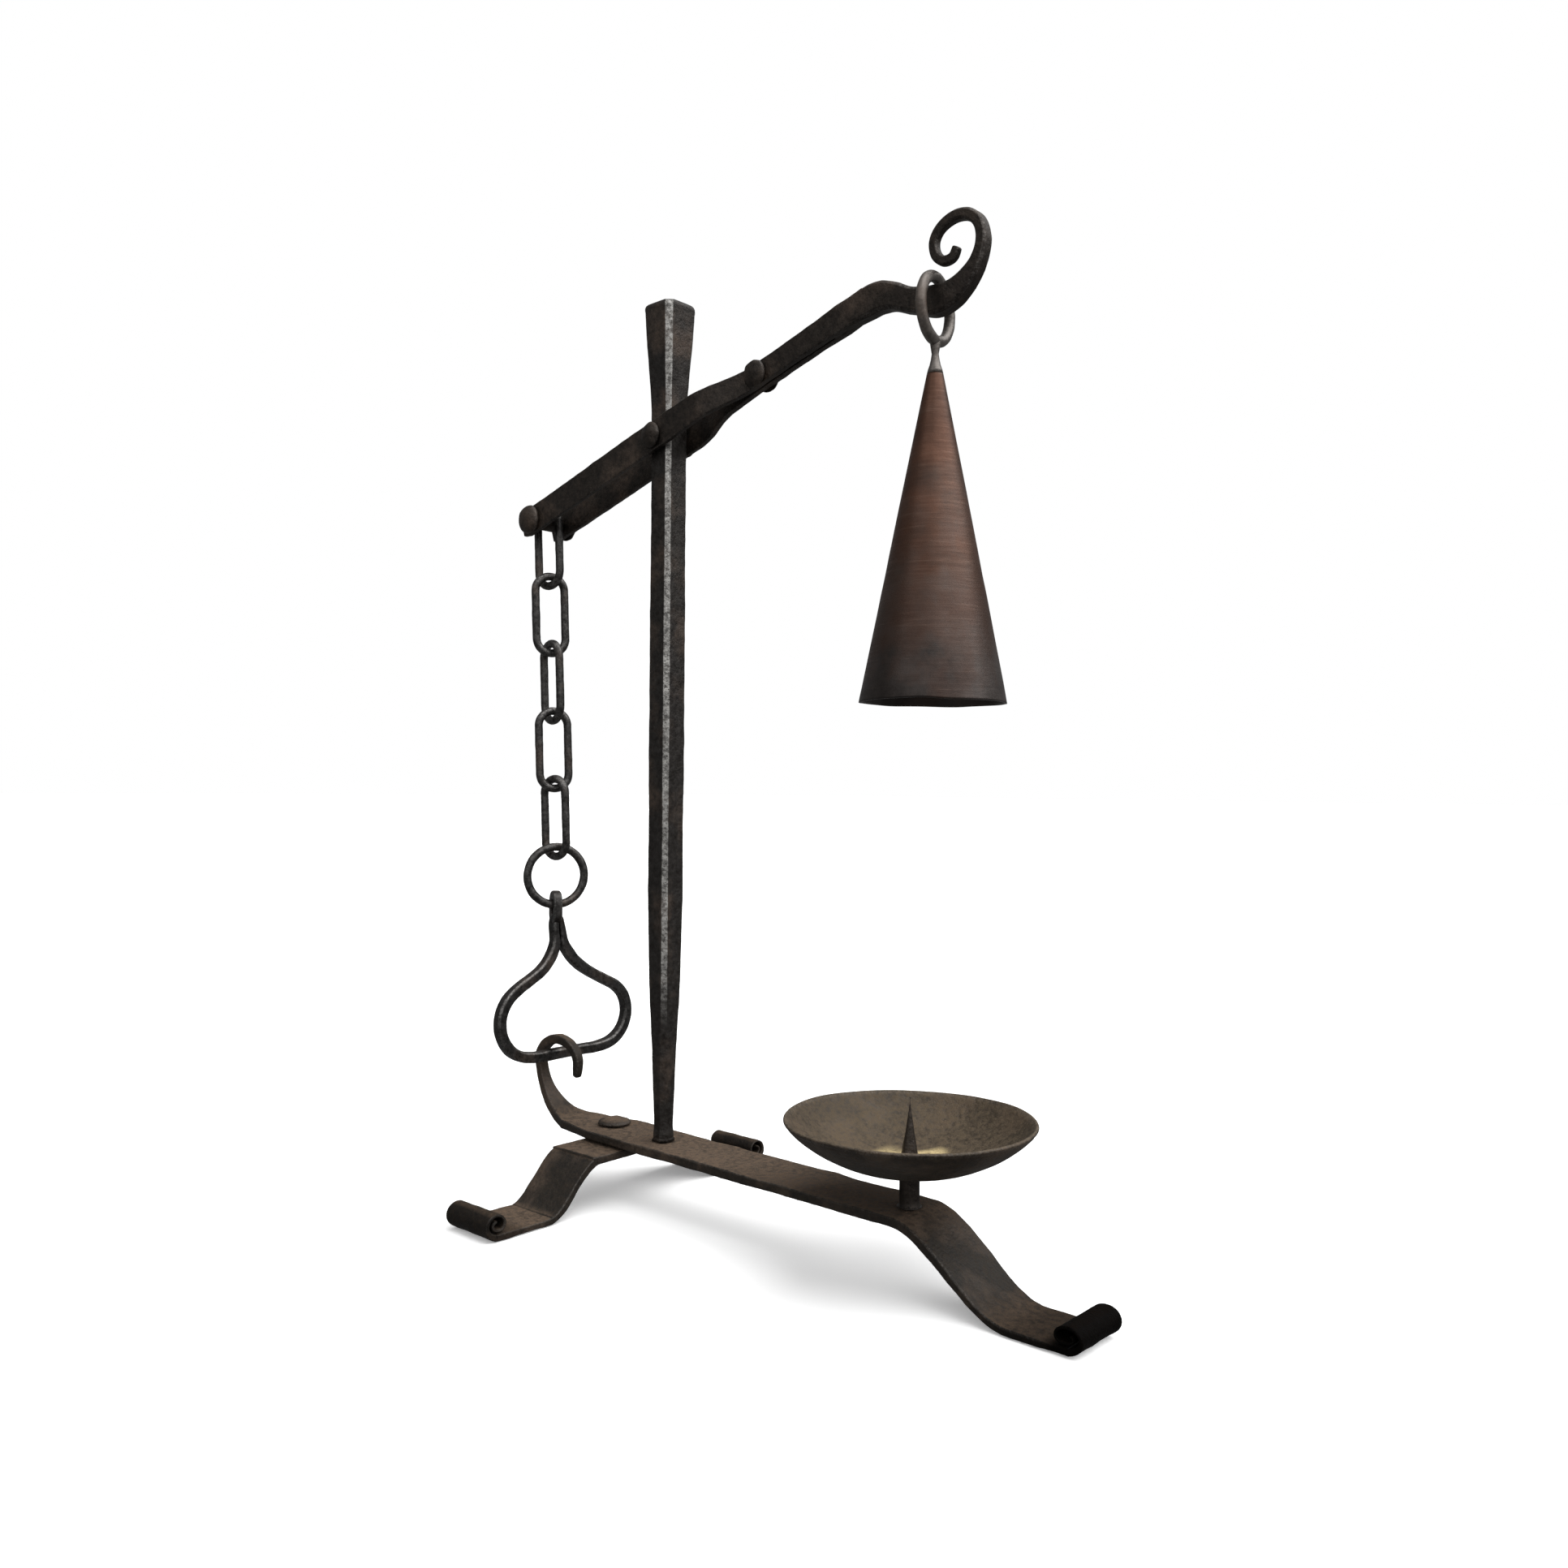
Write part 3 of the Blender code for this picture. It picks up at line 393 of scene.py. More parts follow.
postFinish = forgedFinish("rubbedForgedIron", rubbedPost)[0]
leverFinish = forgedFinish("blackForgedIron", blackScale)[0]
baseFinish = forgedFinish("brownForgedIron", brownScale)[0]
chainFinish = forgedFinish("drawnIronWire", drawnWire)[0]
ringFinish = forgedFinish("paintedHighlightRingIron", paintedHighlightRing)[0]


def panFinishMaterial():
    # the pan's iron with old wax in the middle, by the piece's own tone value
    made, tree, shader, base = forgedFinish("waxedPanIron", waxedPan)
    coords = addNode(tree, "TexCoord").outputs["Object"]
    crumbs = noiseOf(tree, coords, 260, 5, 0.65)
    wax = times(tree, tagged(tree, "tone"), ranged(tree, crumbs, 0.28, 0.46))
    tree.links.new(blended(tree, wax, base, colour(0.55, 0.43, 0.22)), shader.inputs["Base Color"])
    return made


def copperFinishMaterial():
    # red-brown copper, brushed round the cone, going grey and sooty towards the mouth, where tone is 1
    made = bpy.data.materials.new("agedCopper")
    made.use_nodes = True
    tree = made.node_tree
    shader = tree.nodes["Principled BSDF"]
    coords = addNode(tree, "TexCoord").outputs["Object"]
    cloud = noiseOf(tree, coords, 48, 4, 0.6)
    streak = noiseOf(tree, coords, 1.0, 4, 0.62, (55, 55, 900))
    longStreak = noiseOf(tree, coords, 1.0, 3, 0.55, (24, 24, 330))
    speck = noiseOf(tree, coords, 900, 4, 0.7)
    shade = ranged(tree, cloud, 0.36, 0.66)
    base = blended(tree, shade, colour(0.056, 0.026, 0.016), colour(0.112, 0.052, 0.032))
    clouds = noiseOf(tree, coords, 23, 5, 0.65)
    base = blended(tree, ranged(tree, clouds, 0.5, 0.68, 0.0, 0.75), base, colour(0.060, 0.042, 0.034))
    base = blended(tree, ranged(tree, streak, 0.46, 0.78, 0.0, 0.28), base, colour(0.165, 0.092, 0.064))
    # on the cone this value is real soot only, greying the copper towards the mouth
    sootAndShade = maths(tree, "ADD", tagged(tree, "tone"), ranged(tree, cloud, 0.3, 0.7, -0.22, 0.22))
    sootAndShade = ranged(tree, sootAndShade, 0.52, 0.98)
    shade = ranged(tree, clouds, 0.40, 0.66)
    greyed = blended(tree, shade, colour(0.024, 0.019, 0.017), colour(0.080, 0.066, 0.060))
    base = blended(tree, sootAndShade, base, greyed)
    glint = times(tree, ranged(tree, streak, 0.58, 0.74), ranged(tree, longStreak, 0.5, 0.62))
    base = blended(tree, times(tree, glint, 0.22), base, colour(0.30, 0.22, 0.18))
    tree.links.new(base, shader.inputs["Base Color"])
    shader.inputs["Metallic"].default_value = 0.7
    tree.links.new(ranged(tree, streak, 0.3, 0.75, 0.5, 0.34), shader.inputs["Roughness"])
    brushed = addNode(tree, "Bump", {"Height": streak, "Strength": 0.35, "Distance": 0.0002})
    rough = addNode(tree, "Bump", {"Height": speck, "Strength": 0.25, "Distance": 0.0002,
                                   "Normal": brushed.outputs[0]})
    tree.links.new(rough.outputs[0], shader.inputs["Normal"])
    return made


panFinish = panFinishMaterial()
copperFinish = copperFinishMaterial()
print("finishes ready")


# ---- base: hook, spine, front leg and rolled toe from one flat bar ----

base = {"top": 29.6, "thick": 5.0, "width": 30.0, "shift": 1.5, "knee": 136.0, "legRun": 49.0,
        "toe": 208.1, "toeWidth": 28.3, "toeShift": -1.0, "toeRoll": (7.8, 6.35), "toeThick": 3.6,
        "hookStart": -60.0, "hookBend": 27.1, "hookHalf": 14.0, "hookRise": 9.8, "hookDrop": 6.5,
        "hookThick": 5.2, "rollTip": 1.9, "rollTurns": 1.42, "paintedShadeFrom": 160.0,
        "marks": blows(0.35, 16, 0.32, 8.5, 0.10)}
barMiddle = base["top"] - base["thick"] / 2


def rollRows(centre, roll, width, thick, middle, tip, turns):
    # a spiral that leaves the floor under its centre: the reach shrinks evenly as the angle grows,
    # and the bar is drawn thin over the first third of the way
    share = np.linspace(0, 1, 90)
    now = thick + (tip - thick) * ease(3 * share)
    wound = share * turns
    inward = now / 2 + np.minimum(wound, 1) * (thick + 0.16) + np.maximum(wound - 1, 0) * 0.6 * tip
    angle = 2 * np.pi * wound
    out, up = (roll[0] - inward) * np.sin(angle), roll[1] - (roll[1] - inward) * np.cos(angle)
    return np.stack([centre + out, up, np.full(90, middle), np.full(90, width), now], axis=1)


def hookRows(b):
    # tip, flat-topped arch as half an ellipse, then a quarter circle down to the spine
    middle, spring = b["hookStart"] - b["hookBend"] + b["hookHalf"], barMiddle + b["hookBend"]
    tipX = middle + b["hookHalf"] - 0.9
    tip = np.array([[tipX, spring - b["hookDrop"], 0, 4.2, 3.8],
                    [tipX + 0.6, spring - b["hookDrop"] / 2, 0, 4.5, 4.2]])
    turn = np.linspace(0, np.pi, 25)
    grow = turn / np.pi
    rise = np.sin(turn) ** np.where(turn > np.pi / 2, 1.3, 1.0)  # the outer shoulder falls away sooner
    arch = np.stack([middle + b["hookHalf"] * np.cos(turn), spring + b["hookRise"] * rise, 0 * turn,
                     4.8 + 1.2 * grow, np.minimum(b["hookThick"], 4.4 + 1.6 * grow)], axis=1)
    step = np.linspace(0.05, 1, 20)
    turn = np.pi / 2 * (1 - step)
    bend = np.stack([b["hookStart"] - b["hookBend"] * np.sin(turn), spring - b["hookBend"] * np.cos(turn),
                     b["shift"] * step, 6 + 16 * step ** 2.4,
                     b["hookThick"] + (b["thick"] - b["hookThick"]) * step], axis=1)
    return np.vstack([tip, arch, bend])


def buildBase(b):
    spine = [(x, barMiddle, b["shift"], w, b["thick"]) for x, w in
             ((-48, 26), (-32, b["width"]), (0, b["width"]), (45, b["width"]), (90, b["width"]),
              (b["knee"] - 12, b["width"]), (b["knee"], b["width"]))]
    share = np.linspace(0.05, 1, 20)
    leg = np.stack([b["knee"] + b["legRun"] * share,
                    barMiddle + (b["toeThick"] / 2 - barMiddle) * ease(share),
                    b["shift"] + (b["toeShift"] - b["shift"]) * share,
                    b["width"] + (b["toeWidth"] - b["width"]) * share,
                    b["thick"] + (b["toeThick"] - b["thick"]) * share], axis=1)
    middle = (b["knee"] + b["legRun"] + b["toe"]) / 2
    flat = [(middle, b["toeThick"] / 2, b["toeShift"], b["toeWidth"], b["toeThick"])]
    roll = rollRows(b["toe"], b["toeRoll"], b["toeWidth"], b["toeThick"], b["toeShift"], b["rollTip"],
                    b["rollTurns"])
    rows = np.vstack([hookRows(b), spine, leg, flat, roll])
    rows = roundEnds(smoothRows(rows, 0.75), 1.0)
    wide = ease((rows[:, 3] - 8) / 16)  # only the flat part has knocked edges
    edge = np.stack([rows[:, 0], 0 * rows[:, 0], rows[:, 1]], axis=1)
    rows[:, 3] -= wide * (0.35 + 0.35 * softNoise(edge, 13, 3))
    rows[:, 2] += wide * 0.55 * softNoise(edge, 21, 9)
    rows[:, 4] -= wide * (0.22 + 0.22 * softNoise(edge, 9, 4))
    points, outward, rim = sweepBar(rows, barSection(26, 5, 5), 1.15)
    points = beaten(points, outward, b["marks"], 21)
    # painted shade: the toe end and its roll darkened towards black
    past = rows[:, 0] - b["paintedShadeFrom"]
    sootAndShade = 0.7 * ease(past / 34) + 0.27 * ease((past - 37) / 7)
    makePiece("baseBar", "stand", ["bar_hook", "base_bar"], baseFinish,
              [{"points": points, "wear": rim, "sootAndShade": sootAndShade[:, None]}])


buildBase(base)


# ---- cross foot with its two rolled ends ----

cross = {"x": -29.3, "width": 29.4, "thick": 4.2, "knee": 23.0, "run": 27.0, "spread": 76.5,
         "roll": (7.1, 6.7), "toeThick": 3.4, "rollTip": 1.9, "rollTurns": 1.5,
         "marks": blows(0.3, 15, 0.3, 8, 0.10)}


def buildCross(c):
    top = base["top"] - base["thick"] - gap - c["thick"] / 2
    share = np.linspace(0, 1, 22)
    leg = np.stack([c["knee"] + c["run"] * share, top + (c["toeThick"] / 2 - top) * ease(share),
                    np.full(22, c["x"]), np.full(22, c["width"]),
                    c["thick"] + (c["toeThick"] - c["thick"]) * share], axis=1)
    flat = [((c["knee"] + c["run"] + c["spread"]) / 2, c["toeThick"] / 2, c["x"], c["width"], c["toeThick"])]
    roll = rollRows(c["spread"], c["roll"], c["width"], c["toeThick"], c["x"], c["rollTip"], c["rollTurns"])
    half = np.vstack([leg, flat, roll])
    rows = np.vstack([half[::-1] * np.array([-1, 1, 1, 1, 1]), half])
    rows = roundEnds(smoothRows(rows, 0.75), 0.9)
    edge = np.stack([0 * rows[:, 0], rows[:, 0], rows[:, 1]], axis=1)
    rows[:, 3] -= 0.35 + 0.35 * softNoise(edge, 12, 41)
    rows[:, 2] += 0.35 * softNoise(edge, 19, 42)
    points, outward, rim = sweepBar(rows, barSection(26, 4, 5), 0.95)
    points, outward = points[..., [1, 0, 2]], outward[..., [1, 0, 2]]
    points = beaten(points, outward, c["marks"], 44)
    points[..., 2] = np.maximum(points[..., 2], 0.0)
    # painted shade: both rolled ends darkened towards black
    sootAndShade = 0.5 * ease((np.abs(rows[:, 0]) - 60) / 9)
    makePiece("crossFoot", "stand", ["cross_foot"], baseFinish,
              [{"points": points, "wear": rim, "sootAndShade": sootAndShade[:, None]}])


buildCross(cross)


# ---- rivets ----

def domeProfile(radius, height, seat, way, steps=9):
    # rim wall, then a quarter ellipse up to the crown
    turn = np.linspace(0, np.pi / 2, steps)
    rim = [(0.93 * radius, seat), (radius, seat + way * 0.06 * height)]
    for t in turn[:-1]:
        rim.append((radius * math.cos(t), seat + way * height * (0.22 + 0.78 * math.sin(t))))
    return rim


def rivetPoints(low, high, radius, height, shank, middle=()):
    profile = domeProfile(radius, height, low, -1)[::-1] + [(shank, low)] + list(middle)
    return profile + [(shank, high)] + domeProfile(radius, height, high, 1)


def buildRivet(name, node, body, profile, way, centre, marks, seed, material=leverFinish):
    points, outward = revolve(profile, 40)
    points = beaten(points, outward, marks, seed)
    radius = np.asarray(profile)[:, 0]
    rub = np.clip(1 - np.abs(radius - radius.max()) / 1.2, 0, 1)[:, None] * 0.7
    makePiece(name, body, [node], material,
              [{"points": placed(points, way, centre), "wear": rub}])


upright, sideways = np.eye(3), turnAxis("X", -90)
headMarks = blows(0.25, 6, 0.42, 3.6, 0.08, 0.9)
barBottom = base["top"] - base["thick"]
underFoot = barBottom - 2 * gap - cross["thick"] - barMiddle
buildRivet("footRivet", "foot_rivet", "stand",
           rivetPoints(underFoot, base["thick"] / 2 + gap - 0.25, 7.8, 3.3, 3.0),
           upright, (cross["x"] - 7, 3, barMiddle), {**headMarks, "dent": 0.3}, 60, baseFinish)


# ---- post: square bar, drawn thin at the foot, spread at the head ----

post = {"pivot": 338.0, "rise": 60.9, "side": 13.5, "headExtra": 5.3, "foot": 8.4, "chamfer": 2.5,
        "marks": blows(0.3, 24, 0.26, 7.5, 0.07)}


def buildPost(p):
    top, seat, under = p["pivot"] + p["rise"], base["top"] + gap - 0.2, barBottom - gap
    head, foot, side, chamfer = p["side"] + p["headExtra"], p["foot"], p["side"], p["chamfer"]
    # height, side, chamfer
    rows = np.array([(under - 2.6, 6.4, 2.0), (under - 2.3, 8.6, 2.6), (under - 1.2, 10.0, 2.9),
                     (under, 10.0, 2.9), (under, 6.0, 1.7), (seat, 6.0, 1.7), (seat, foot + 1.2, 2.7),
                     (seat + 0.8, foot, 2.4), (seat + 14, foot + 0.5, 0.29 * (foot + 0.5)),
                     (seat + 40, foot + 2.4, 2.9), (seat + 73, side - 1.0, chamfer),
                     (seat + 105, side, chamfer), (p["pivot"] - 14, side, chamfer),
                     (p["pivot"] + 12, side, chamfer), (p["pivot"] + 22, side + 1.1, 2.6),
                     (p["pivot"] + 38, side + 3.3, 2.9), (top - 4.6, head - 0.1, 3.0),
                     (top - 3.7, head - 0.1, 3.1), (top - 2.9, head - 0.7, 3.1),
                     (top - 2.2, head - 2.0, 3.1), (top - 1.1, 12.6, 2.9), (top - 0.3, 7.4, 2.0),
                     (top, 5.4, 1.5)])
    tall = np.linspace(rows[7, 0], rows[16, 0], 430)[1:-1]
    smooth = np.stack([tall] + [np.interp(tall, rows[7:17, 0], rows[7:17, k]) for k in (1, 2)], axis=1)
    blur = np.ones(25) / 25
    wide = np.concatenate([np.full(12, smooth[0, 1]), smooth[:, 1], np.full(12, smooth[-1, 1])])
    smooth[:, 1] = np.convolve(wide, blur, "valid") * 0.7 + smooth[:, 1] * 0.3
    rows = np.vstack([rows[:8], smooth, rows[16:]])
    height, side, chamfer = rows.T
    k, c = barSection(9, 9, 6, 1.75)
    at = k[None] * (side / 2 - chamfer)[:, None, None] + c[None] * chamfer[:, None, None]
    points = np.concatenate([at, np.broadcast_to(height[:, None, None], at.shape[:2] + (1,))], axis=2)
    way = c / np.linalg.norm(c, axis=1, keepdims=True)
    outward = np.broadcast_to(np.concatenate([way, np.zeros((len(way), 1))], axis=1), points.shape)
    body = ease((height - seat - 2) / 4)[:, None, None] * ease((top - height) / 3)[:, None, None]
    points = points + (beaten(points, outward, p["marks"], 71) - points) * body
    corner = (np.abs(way).min(axis=1) > 0.02).astype(float)
    rubbed = np.where((way[:, 0] > 0) & (way[:, 1] < 0), 1.0, 0.55)  # the corner facing the camera gets the full wear, the other three a little over half
    rubbed = rubbed * ease((height - seat - 40) / 45)[:, None]
    makePiece("squarePost", "stand", ["post"], postFinish,
              [{"points": points, "wear": corner * rubbed}])


buildPost(post)


# ---- pan, stem and spike ----

pan = {"x": 134.2, "radius": 47.05, "rim": 61.7, "wall": 1.3, "flat": 8.0, "lift": 14.3, "waxRadius": 20.5,
       "spikeTop": 71.1, "spikeRadius": 3.6, "stemRadius": 4.0,
       "marks": blows(0.25, 20, 0.22, 9, 0.06),
       "spikeMarks": blows(0.1, 6, 0.22, 3.4, 0.06, 0.8),
       "stemMarks": blows(0.1, 8, 0.15, 3.5, 0.06, 0.8)}


def buildPan(p):
    low = base["top"] + p["lift"]
    rise, run = p["rim"] - low, p["radius"] - p["flat"]
    bend = (run ** 2 + rise ** 2) / (2 * rise)
    turn = np.linspace(0, math.asin(run / bend), 56)
    outer = np.stack([p["flat"] + bend * np.sin(turn), low + bend * (1 - np.cos(turn))], axis=1)
    inside = bend - p["wall"]
    inner = np.stack([p["flat"] + inside * np.sin(turn), low + bend - inside * np.cos(turn)], axis=1)
    middle = np.linspace(0.4, p["flat"], 12)[:-1]
    floor = np.stack([middle, np.full(11, low + p["wall"])], axis=1)
    under = np.stack([middle, np.full(11, low)], axis=1)
    lip = (outer[-1] + inner[-1]) / 2
    half = (inner[-1] - outer[-1]) / 2
    side = np.array([half[1], -half[0]])
    side = side if side[1] > 0 else -side
    swing = np.linspace(0, np.pi, 9)[1:-1, None]
    lipRows = lip + half * np.cos(swing) + side * 0.9 * np.sin(swing)
    profile = np.vstack([floor, inner, lipRows, outer[::-1], under[::-1]])
    points, outward = revolve(profile, 224)
    edge = len(floor) + len(inner)
    ridge = np.zeros(len(profile))
    ridge[edge - 2:edge + 9] = 1
    depth = beaten(points, outward, p["marks"], 81) - points
    upper = np.arange(len(profile)) < edge
    depth = np.where(upper[:, None, None], depth, depth * 0.6)
    points = points + depth * (1 - 0.7 * ridge)[:, None, None]
    # the rim wanders a little up and down
    far = ease((np.hypot(points[..., 0], points[..., 1]) - 30) / 17)
    points[..., 2] -= far * (0.45 + 0.45 * softNoise(points * np.array([1, 1, 0]), 24, 83))
    radius = np.hypot(points[..., 0], points[..., 1])
    wobble = softNoise(points, 9, 85) * 5
    wax = ease((p["waxRadius"] + wobble - radius) / 6) * upper[:, None]
    makePiece("dripPan", "stand", ["drip_pan"], panFinish,
              [{"points": shifted(points, p["x"]), "wear": ridge[:, None] * 0.9, "tone": wax}])


buildPan(pan)


def buildSpike(p):
    seat = base["top"] + p["lift"] + p["wall"] + 0.1
    share = np.linspace(0, 1, 30)
    taper = np.stack([p["spikeRadius"] * (1 - share) ** 1.3 + 0.45 * (1 - share) ** 0.4,
                      seat + 1.2 + (p["spikeTop"] - seat - 1.4) * share], axis=1)
    taper[-1, 0] = 0.18
    foot = [(1.6, seat - 4.4), (1.8, seat - 4.2), (1.8, seat), (4.4, seat), (4.5, seat + 0.3),
            (4.2, seat + 0.8)]
    profile = np.vstack([foot, taper])
    points, outward = revolve(profile, 36, 0.05)
    points = beaten(points, outward, p["spikeMarks"], 91)
    tip = ease((profile[:, 1] - p["spikeTop"] + 5) / 5)[:, None]
    makePiece("candleSpike", "stand", ["pricket"], leverFinish,
              [{"points": shifted(points, p["x"]), "wear": 0.35 + 0.6 * tip}])
    low, top = barBottom - gap - 0.2, base["top"] + p["lift"] - 0.15
    collar, stem = base["top"] + 0.1, p["stemRadius"]
    profile = [(1.2, low - 2.2), (3.4, low - 2.0), (4.6, low - 1.2), (4.8, low - 0.4), (4.6, low),
               (3.0, low), (3.0, collar), (stem + 0.9, collar), (stem + 0.6, collar + 0.5),
               (stem + 0.1, collar + 1.1), (stem, collar + 2.4), (stem, collar + 4), (stem, top - 3),
               (stem, top - 1.6), (stem + 0.3, top - 0.8), (stem + 0.4, top - 0.2), (2.4, top), (0.8, top)]
    points, outward = revolve(profile, 40, 0.012)
    points = beaten(points, outward, p["stemMarks"], 93)
    rub = np.clip(1 - np.abs(np.asarray(profile)[:, 0] - 4.5) / 0.6, 0, 1)[:, None]
    makePiece("panStem", "stand", ["pan_stem"], leverFinish,
              [{"points": shifted(points, p["x"]), "wear": rub * 0.8}])


buildSpike(pan)


# ---- lever: two strips that fork round the post, a crook, a ring seat and a scroll ----

lever = {"tilt": math.radians(16.8), "tine": 3.0, "arm": 7.3, "tail": 97.0, "pin": 89.2,
         "forkRivet": 58.0, "closes": (24.0, 53.0), "rearCloses": (9.0, 36.0), "slit": 0.3,
         "crook": 103.4, "seat": 143.0, "seatDrop": 4.8, "seatThick": 11.6, "pinRadius": 4.25,
         "marks": blows(0.28, 17, 0.24, 6.5, 0.07)}
tineInner = post["side"] / 2 + slide + 0.2
tineOuter = tineInner + lever["tine"]


def onBeam(reach):
    return reach * math.cos(lever["tilt"]), post["pivot"] + reach * math.sin(lever["tilt"])


def forkHalf(x, wide, narrow, side):
    # half gap between the strips: wide round the post, closing smoothly to the arm
    start, end = lever["rearCloses"] if side > 0 else lever["closes"]
    return wide + (narrow - wide) * ease((x - start) / (end - start))


def stripRows(side, b):
    tailX = -b["tail"] * math.cos(b["tilt"])
    x = np.linspace(tailX, b["crook"] + 9, 260)
    z = post["pivot"] + x * math.tan(b["tilt"])
    deep = 13.4 - 3.1 * ease((x - 5) / 55) + 1.4 * ease((x - 80) / 25)
    deep = deep - 2.2 * (1 - ease((x - tailX) / 4.5))
    inner, outer = forkHalf(x, tineInner, b["slit"] / 2, side), forkHalf(x, tineOuter, b["arm"] / 2, side)
    fade = ease((x - b["crook"] + 6) / 10)  # the strips sink into the solid crook
    return np.stack([x, z, side * (inner + outer) / 2, outer - inner - 0.5 * fade, deep - 0.6 * fade], axis=1)


def crookRows(b):
    startX, startZ = b["crook"], post["pivot"] + b["crook"] * math.tan(b["tilt"])
    seat = startZ - b["seatDrop"]
    slope = math.tan(b["tilt"])
    bend = [(startX - 10, startZ - 10 * slope, 6.6, 11.0), (startX - 5, startZ - 5 * slope, 6.9, 11.2),
            (startX, startZ, 7.3, 11.7), (startX + 8.6, startZ + 2.0, 7.3, 12.9),
            (startX + 14.6, startZ + 2.6, 7.4, 12.3), (startX + 21, startZ + 1.4, 7.5, 10.8),
            (startX + 28, startZ - 1.6, 7.7, 9.9), (b["seat"] - 6, seat + 1.4, 7.9, 10.3),
            (b["seat"], seat, 8.0, b["seatThick"]), (b["seat"] + 6, seat + 0.2, 7.9, 11.2)]
    scroll = ((11.2, 2.4, 7.4, 9.6), (16.3, 6.8, 6.8, 7.6), (19.6, 12.3, 6.2, 5.8), (20.7, 18.2, 5.8, 5.0),
              (18.9, 24.2, 5.3, 4.8), (14.1, 28.1, 5.0, 4.6), (7.8, 28.7, 4.6, 4.5), (2.2, 26.3, 4.2, 4.3),
              (-0.6, 22.0, 3.9, 4.2), (0.2, 17.0, 3.7, 4.0), (3.6, 13.9, 3.5, 3.9), (7.6, 14.3, 3.4, 4.0),
              (9.5, 17.6, 3.3, 3.6))
    bend += [(b["seat"] + u, seat + v, w, t) for u, v, w, t in scroll]
    x, z, width, thick = np.array(bend).T
    return np.stack([x, z, 0 * x, width, thick], axis=1)


def buildLever(b):
    shells, marks = [], b["marks"]
    for side in (-1, 1):
        rows = roundEnds(stripRows(side, b), 0.8)
        points, outward, rim = sweepBar(rows, barSection(7, 13, 5), 0.85)
        shells.append({"points": beaten(points, outward, marks, 101 + side), "wear": rim})
    rows = roundEnds(smoothRows(crookRows(b), 0.6), 0.7)
    corner = np.clip(0.26 * np.minimum(rows[:, 3], rows[:, 4]), 0.7, 1.7)
    points, outward, rim = sweepBar(rows, barSection(9, 11, 5, 1.5), corner)
    small = ease((rows[:, 4] - 2.5) / 7)[:, None, None]
    shells.append({"points": points + (beaten(points, outward, marks, 107) - points) * (0.35 + 0.65 * small),
                   "wear": rim})
    makePiece("leverBeam", "lever", ["beam_fork"], leverFinish, shells)
    out = tineOuter + gap - 0.2
    near = b["arm"] / 2 + gap - 0.2
    waist = tineInner - gap
    shape = ((3.0, -waist), (b["pinRadius"], -waist), (b["pinRadius"], waist), (3.0, waist))
    pinMarks = {**headMarks, "dent": 0.5, "dentSize": 4.4}
    # name, node, place along the lever, half width between the heads, radius, height, middle, marks
    for name, node, reach, wide, radius, height, middle, marks, seed in (
            ("pivotRivet", "pivot_rivet", 0, out, 5.9, 3.5, (), headMarks, 111),
            ("forkRivet", "fork_rivet", b["forkRivet"], near, 6.1, 3.2, (), headMarks, 115),
            ("chainPin", "chain_pin", -b["pin"], out, 7.3, 4.5, shape, pinMarks, 119)):
        x, z = onBeam(reach)
        buildRivet(name, node, "lever", rivetPoints(-wide, wide, radius, height, 3.0, middle), sideways,
                   (x, 0, z), marks, seed)


buildLever(lever)


# ---- chain, ring and pull handle ----

chain = {"yaws": (6.0, 67.0, -7.0, 68.0, 5.0), "wire": 2.17, "ringOuter": 16.0, "ringWire": 2.15,
         "ringYaw": 67.0,
         "marks": blows(0.14, 6, 0.12, 3.6, 0.05, 0.9),
         "ringMarks": blows(0.12, 7, 0.12, 4, 0.05, 0.9)}
chain["width"] = 8.525 * chain["wire"]
handle = {"bar": 5.5, "drop": 73.9, "x": -77.0, "neck": 9.2,
          "marks": blows(0.16, 11, 0.16, 5, 0.05)}


def hookArch(x):
    b = base
    across = (x - (b["hookStart"] - b["hookBend"] + b["hookHalf"])) / b["hookHalf"]
    return barMiddle + b["hookBend"] + b["hookRise"] * math.sqrt(1 - across ** 2)


eyeZ = (hookArch(handle["x"] - handle["bar"] / 2) - base["hookThick"] / 2 - 2 * slide - handle["bar"] / 2
        + handle["drop"] - gap / 2)
ringTop = np.array([handle["x"], 0, eyeZ + 2 * (chain["ringOuter"] - 2 * chain["ringWire"]) - gap])
pinX, pinZ = onBeam(-lever["pin"])
chainTop = np.array([pinX, 0, pinZ + lever["pinRadius"] + gap / 2])


